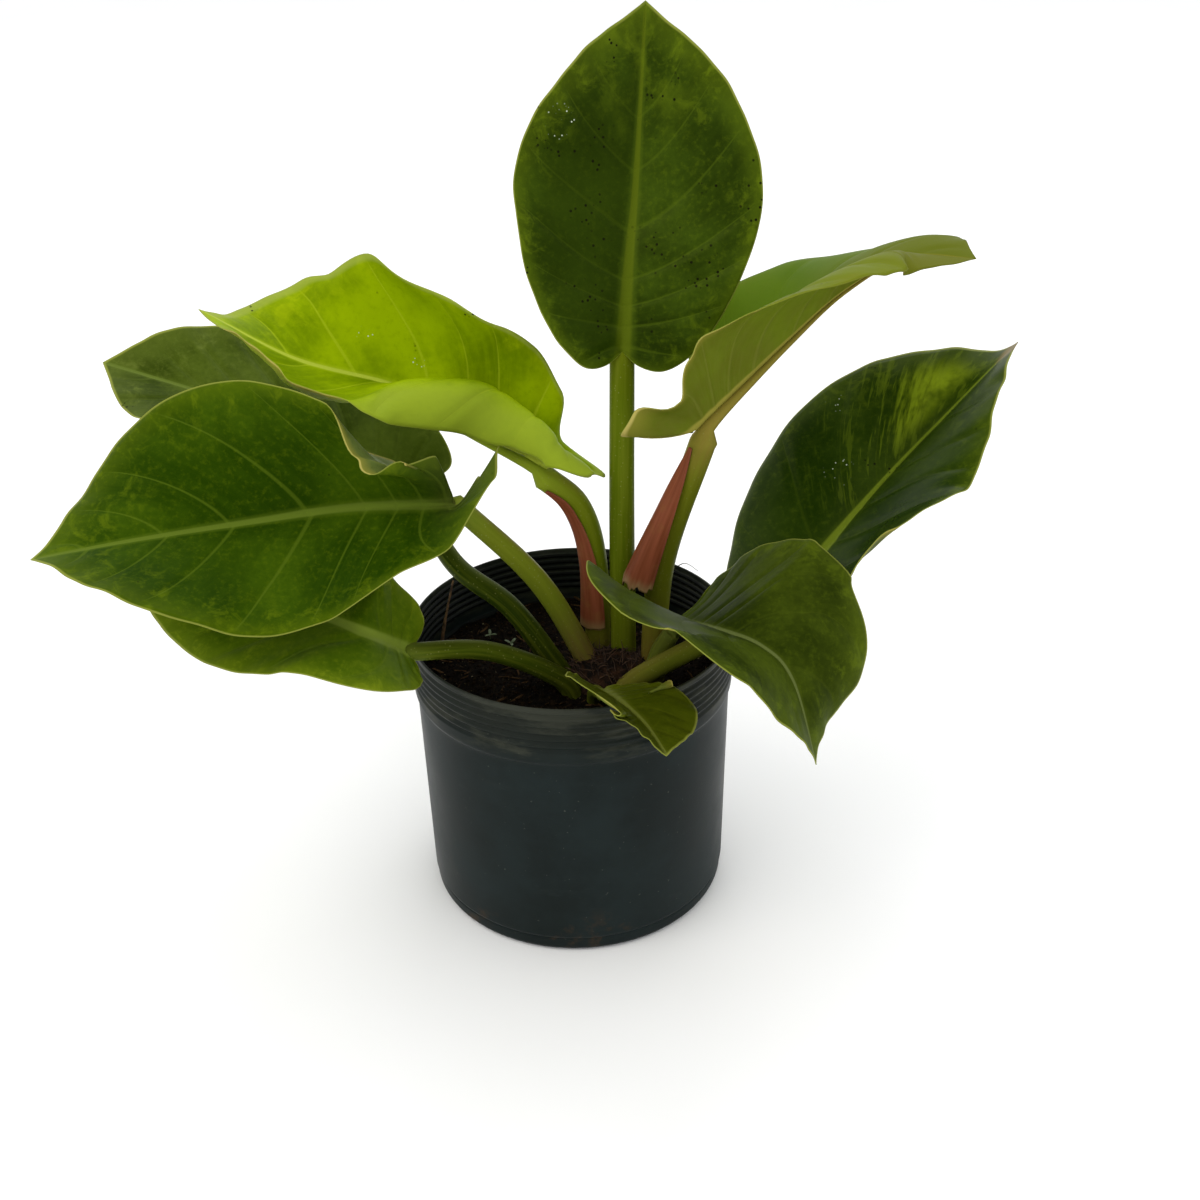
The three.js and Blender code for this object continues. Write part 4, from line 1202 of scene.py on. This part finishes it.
def soil_profile():
    side = [(wall_radius(z) - WALL - SOIL_ROOM, z) for z in (9, 16, 60, 110, 150, SOIL_TOP - 2)]
    edge = side[-1][0]
    top = [(edge * (1 - i / SOIL_RINGS), SOIL_TOP) for i in range(SOIL_RINGS + 1)]
    return [(0, SOIL_FLOOR), (SOIL_FLOOR_RADIUS, SOIL_FLOOR)] + side + top


def soil_point(x, y, z):
    """Only the top is uneven."""
    if z < SOIL_TOP - 1:
        return x, y, z
    return x, y, soil_height(x, y) + sum(height * rough(x, y, level, size, seed)
                                         for height, level, size, seed in SOIL_LUMPS)


soil = turned("potting_soil", soil_profile(), SOIL_SEGMENTS)
move_points(soil, soil_point)
close_seams(soil, 0.01)
soil.data.materials.append(potting_soil())
settle(soil, "potting_soil", "soil")

SCATTER_TREE = scatter_tree()
for name, (density, size, stretch, seed, dark, light) in BITS.items():
    bits = SCATTER_TREE.grow(name, bare_copy(name, soil), density=density, size=size * MM,
                             stretch=stretch, lowest=(SOIL_TOP - 5) * MM, seed=seed,
                             material=bit_material(name, dark, light))
    settle(bits, "potting_soil", "soil")

# %% [markdown]
# The stem is the short brown heart that all the stalks rise from. It is lumpy with old leaf scars
# and shaggy with fibres, the remains of earlier sheaths, which grow out of its surface as thin
# tapering threads.

# %% Stem and its fibres
STEM_RADIUS = 31
STEM_TOP = 180
STEM_SHOULDER = 158  # above it the stem is rounded
STEM_FOOT = 147
STEM_SEGMENTS = 84
STEM_LUMPS = 1.6


def brown_stem():
    """Dry brown corky stem with darker creases."""
    m = Finish("brown_stem", "#0f0a07")
    cork = m.noise(110.0, 6.0, 0.65, 0.8)
    m.paint("#3b2618", (cork, 0.35, 0.7))
    height = m.math("ADD", cork, m.times(m.noise(500.0, 3.0), 0.3))
    return m.finish(0.85, height, 2.0, 0.9, Specular_IOR_Level=0.1)


def dry_fibre():
    """Dead sheath fibre, each with its own tone."""
    m = Finish("dry_fibre", "#1c120a")
    m.paint("#4a3220", (m.attribute("bit_tone"), 0.0, 1.0))
    grain = m.noise(300.0, 2.0)
    return m.finish((grain, 0.3, 0.7, 0.75, 0.95), grain, 0.2, 0.4)


def stem_point(x, y, z):
    """Lumps all over."""
    return (x + STEM_LUMPS * rough(x, y, z, 9, 1), y + STEM_LUMPS * rough(x, y, z, 9, 5),
            z + 1.5 * STEM_LUMPS * rough(x, y, z, 8, 8) - 1.0)


stem_profile = [(0, STEM_FOOT), (STEM_RADIUS * 0.9, STEM_FOOT)] + [
    (STEM_RADIUS * math.cos(a) ** 0.7, STEM_SHOULDER + (STEM_TOP - STEM_SHOULDER) * math.sin(a))
    for a in np.linspace(0, math.pi / 2 - 0.001, 34)]
stem = turned("brown_stem", stem_profile, STEM_SEGMENTS, STEM_CENTRE)
move_points(stem, stem_point)
close_seams(stem, 0.01)
stem.data.materials.append(brown_stem())
settle(stem, "brown_stem", "stem")

fibres = fibre_tree().grow("stem_fibres", bare_copy("stem_fibres", stem), density=90000.0,
                           length=8.5 * MM, thickness=0.45 * MM, lowest=163 * MM, seed=6,
                           material=dry_fibre())
settle(fibres, "brown_stem", "stem")

# %% [markdown]
# ## Sheaths
#
# Each new leaf unrolls from a scale leaf, which stays behind on the stalk beside it as a fleshy,
# salmon-pink sheath. It is a strip bent round the stalk, wide at its foot and pointed above. Its
# foot has torn and dried. One function lays both strips round their stalks, and the function that
# closed the blades gives them their thickness.

# %% Sheath strips
SHEATHS = {
    "sheath_right": dict(beside="leaf_right_folded", start=0.42, end=0.97, toward=(-0.8, -0.6, 0),
                         span=160, flare=3, lean=15, room=0.5, torn=3.2),
    "sheath_left": dict(beside="leaf_left_young", start=0.2, end=0.97, toward=(-0.7, -0.65, 0.3),
                        span=150, flare=1, lean=0, room=1.1, torn=0.8),
}
SHEATH_ROWS = 90
SHEATH_COLUMNS = 28
SHEATH_TIP_SPAN = 14
SHEATH_WALL = 1.0
SHEATH_WAVE = 0.35
SHEATH_TAPER_POWER = 1.5
SHEATH_FLARE_POWER = 3
SHEATH_LEAN_POWER = 1.6
TORN_POWER = 12  # how soon the torn edge ends above the foot
TORN_DEPTH = 0.0028


def sheath_skin():
    """Fleshy salmon scale leaf with brown streaks, dry and tan at its torn foot."""
    m = Finish("pink_sheath", "#723a20")
    share, over = m.attribute("sheath_share"), m.attribute("sheath_over")
    streak = m.noise(1.0, 2.0, 0.5, at=m.join(m.times(over, 7.0), m.times(share, 1.5)))
    m.paint("#8c4c32", (streak, 0.3, 0.75))
    cloud = m.noise(55.0, 5.0, 0.6)
    m.paint("#866030", (cloud, 0.52, 0.72), 0.4)
    m.paint("#9a5a44", (m.math("ABSOLUTE", m.math("SUBTRACT", over, 0.5)), 0.44, 0.5), 0.5)
    m.paint("#8a6e48", (share, 0.08, 0.0))
    height = m.math("ADD", streak, m.times(cloud, 0.4))
    return m.finish((cloud, 0.3, 0.7, 0.42, 0.58), height, 0.2, 0.4, Specular_IOR_Level=0.15)


def sheath_grid(leaf, sheath):
    """The strip's middle surface, its outward directions and its measures."""
    line = petiole_line(leaf)
    share, over = np.meshgrid(np.linspace(0, 1, SHEATH_ROWS + 1),
                              np.linspace(0, 1, SHEATH_COLUMNS + 1), indexing="ij")
    foot = 1 - share
    jag = np.sin(over * 23 + 1) + 0.7 * np.sin(over * 57 + 2) + 0.5 * np.sin(over * 101)
    reach = sheath["start"] + (sheath["end"] - sheath["start"]) * share
    reach = reach - sheath["torn"] * TORN_DEPTH * jag * foot ** TORN_POWER
    centre = on_line(line, reach.ravel()).reshape(*share.shape, 3)
    along = direction(line, reach.ravel()).reshape(*share.shape, 3)
    toward = np.asarray(sheath["toward"], float)
    out = unit(toward - (along @ toward)[..., None] * along)
    across = np.cross(along, out)
    centre = centre + out * (sheath["lean"] * foot ** SHEATH_LEAN_POWER)[..., None]
    low, high = leaf["radius"]
    stand = low + (high - low) * reach + sheath["room"] + SHEATH_WALL / 2
    stand = stand + sheath["flare"] * foot ** SHEATH_FLARE_POWER
    stand = stand + SHEATH_WAVE * np.sin(9 * share + 5 * over) * foot
    narrower = (SHEATH_TIP_SPAN - sheath["span"]) * share ** SHEATH_TAPER_POWER
    angle = np.radians(sheath["span"] + narrower) * (over - 0.5)
    ray = out * np.cos(angle)[..., None] + across * np.sin(angle)[..., None]
    return centre + ray * stand[..., None], ray, dict(sheath_share=share, sheath_over=over)


PINK_SHEATH = sheath_skin()
for name, sheath in SHEATHS.items():
    middle, ray, fields = sheath_grid(LEAVES[sheath["beside"]], sheath)
    strip = closed_skin(name + "_strip", middle, ray * SHEATH_WALL / 2, fields)
    strip.data.materials.append(PINK_SHEATH)
    strip.data.polygons.foreach_set("material_index", [0] * len(strip.data.polygons))
    close_seams(strip, 0.005)
    settle(strip, "pink_sheath", name)

# %% [markdown]
# ## Twig, stray root, seedlings
#
# Small things make the pot look used: a dry twig that leans on the wall, a wiry root that has crept
# over the rim, and a few weed seedlings in the peat. The twig and the root follow a line, so the
# stalk's tree makes them as well. The seedlings are small meshes built point by point.

# %% Twig and root
THREAD_POINTS = 30
THREAD_SIDES = 10
THREADS = {
    "dry_twig": dict(
        line=[(-97, 18, 153), (-92.5, 30, 184), (-85, 46, 214)], radii=(1.5, 1.2, 0.7),
        node="twig", tones=("#3a2a1c", "#6e5438")),
    "stray_root": dict(
        line=[(70, 84, 190), (77, 79, 203), (81, 77, 207.2), (84, 76, 208), (88, 72, 207.6),
              (92, 66, 206.8)], radii=(0.4, 0.35, 0.2),
        node="soil", tones=("#2a2018", "#5a4a38")),
}

for name, thread in THREADS.items():
    path = on_line(smooth_line(thread["line"]), np.linspace(0, 1, THREAD_POINTS))
    foot, middle, tip = thread["radii"]
    bark = grained(name + "_bark", *thread["tones"], (160.0, 5.0, 0.7), (0.35, 0.65),
                   (0.85, 0.8, 0.8), Specular_IOR_Level=0.3)
    piece = STALK_TREE.grow(name, line_object(name, path), foot_radius=foot * MM,
                            blade_radius=middle * MM, tip_radius=tip * MM, petiole_share=0.6,
                            sides=THREAD_SIDES, material=bark)
    close_seams(piece, 0.005)
    settle(piece, "dry_twig", thread["node"])

# %% Seedlings
SEEDLINGS = [(-61, 47, 14), (-45, 34, 40), (-70, 30, 75), (-38, 58, 10), (62, 52, 55)]
SEED_LEAF_LENGTH = 5.5
SEED_LEAF_WIDTH = 2.2
SEED_LEAF_ARCH = 1.6
SEED_LEAF_KEEL = 0.25
SEED_LEAF_STEPS = 6
SEED_LEAF_ANGLES = (0, 2.4, 4.1)
SEED_LEAF_WALL = 0.25
SEED_STEM_HEIGHT = 4.5
SEED_STEM_RADIUS = 0.35
SEED_STEM_SIDES = 5


def seedling_points(x, y, turn):
    """Three seed leaves on a short stem, each two strips of quads along its keel."""
    foot = np.array([x, y, soil_height(x, y)])
    leaf_faces = quads(np.arange(3 * SEED_LEAF_STEPS + 3).reshape(-1, 3).T)
    points, faces = [], []
    for angle in SEED_LEAF_ANGLES:
        over = np.array([math.cos(turn + angle), math.sin(turn + angle), 0])
        side = np.array([-over[1], over[0], 0])
        faces += (leaf_faces + len(points)).tolist()
        for s in np.linspace(0, 1, SEED_LEAF_STEPS + 1):
            rise = SEED_STEM_HEIGHT + SEED_LEAF_ARCH * math.sin(1.7 * s)
            centre = foot + over * SEED_LEAF_LENGTH * s + (0, 0, rise)
            wide = SEED_LEAF_WIDTH * math.sin(math.pi * min(0.08 + 0.9 * s, 1)) ** 0.6 / 2
            points += [centre - side * wide, centre - (0, 0, SEED_LEAF_KEEL), centre + side * wide]
    faces += (tube(2, SEED_STEM_SIDES) + len(points)).tolist()
    for rise in (-1, SEED_STEM_HEIGHT + 0.1):
        points += [(*place, foot[2] + rise) for place in arc(
            x, y, SEED_STEM_RADIUS, np.arange(SEED_STEM_SIDES) * 2 * math.pi / SEED_STEM_SIDES)]
    return points, np.array(faces)


points, faces = [], []
for x, y, turn in SEEDLINGS:
    new_points, new_faces = seedling_points(x, y, math.radians(turn * 7))
    faces += (new_faces + len(points)).tolist()
    points += new_points
seedlings = mesh_object("seedlings", points, faces)
seedlings.modifiers.new("wall", "SOLIDIFY").thickness = SEED_LEAF_WALL * MM
seedlings.data.materials.append(grained(
    "seedling_green", "#3c482c", "#5c684a", (300.0, 3.0), (0.3, 0.7), (0.6, 0.2, 0.5), IOR=1.4))
smooth_faces(seedlings)
settle(seedlings, "green_leaf", "soil")
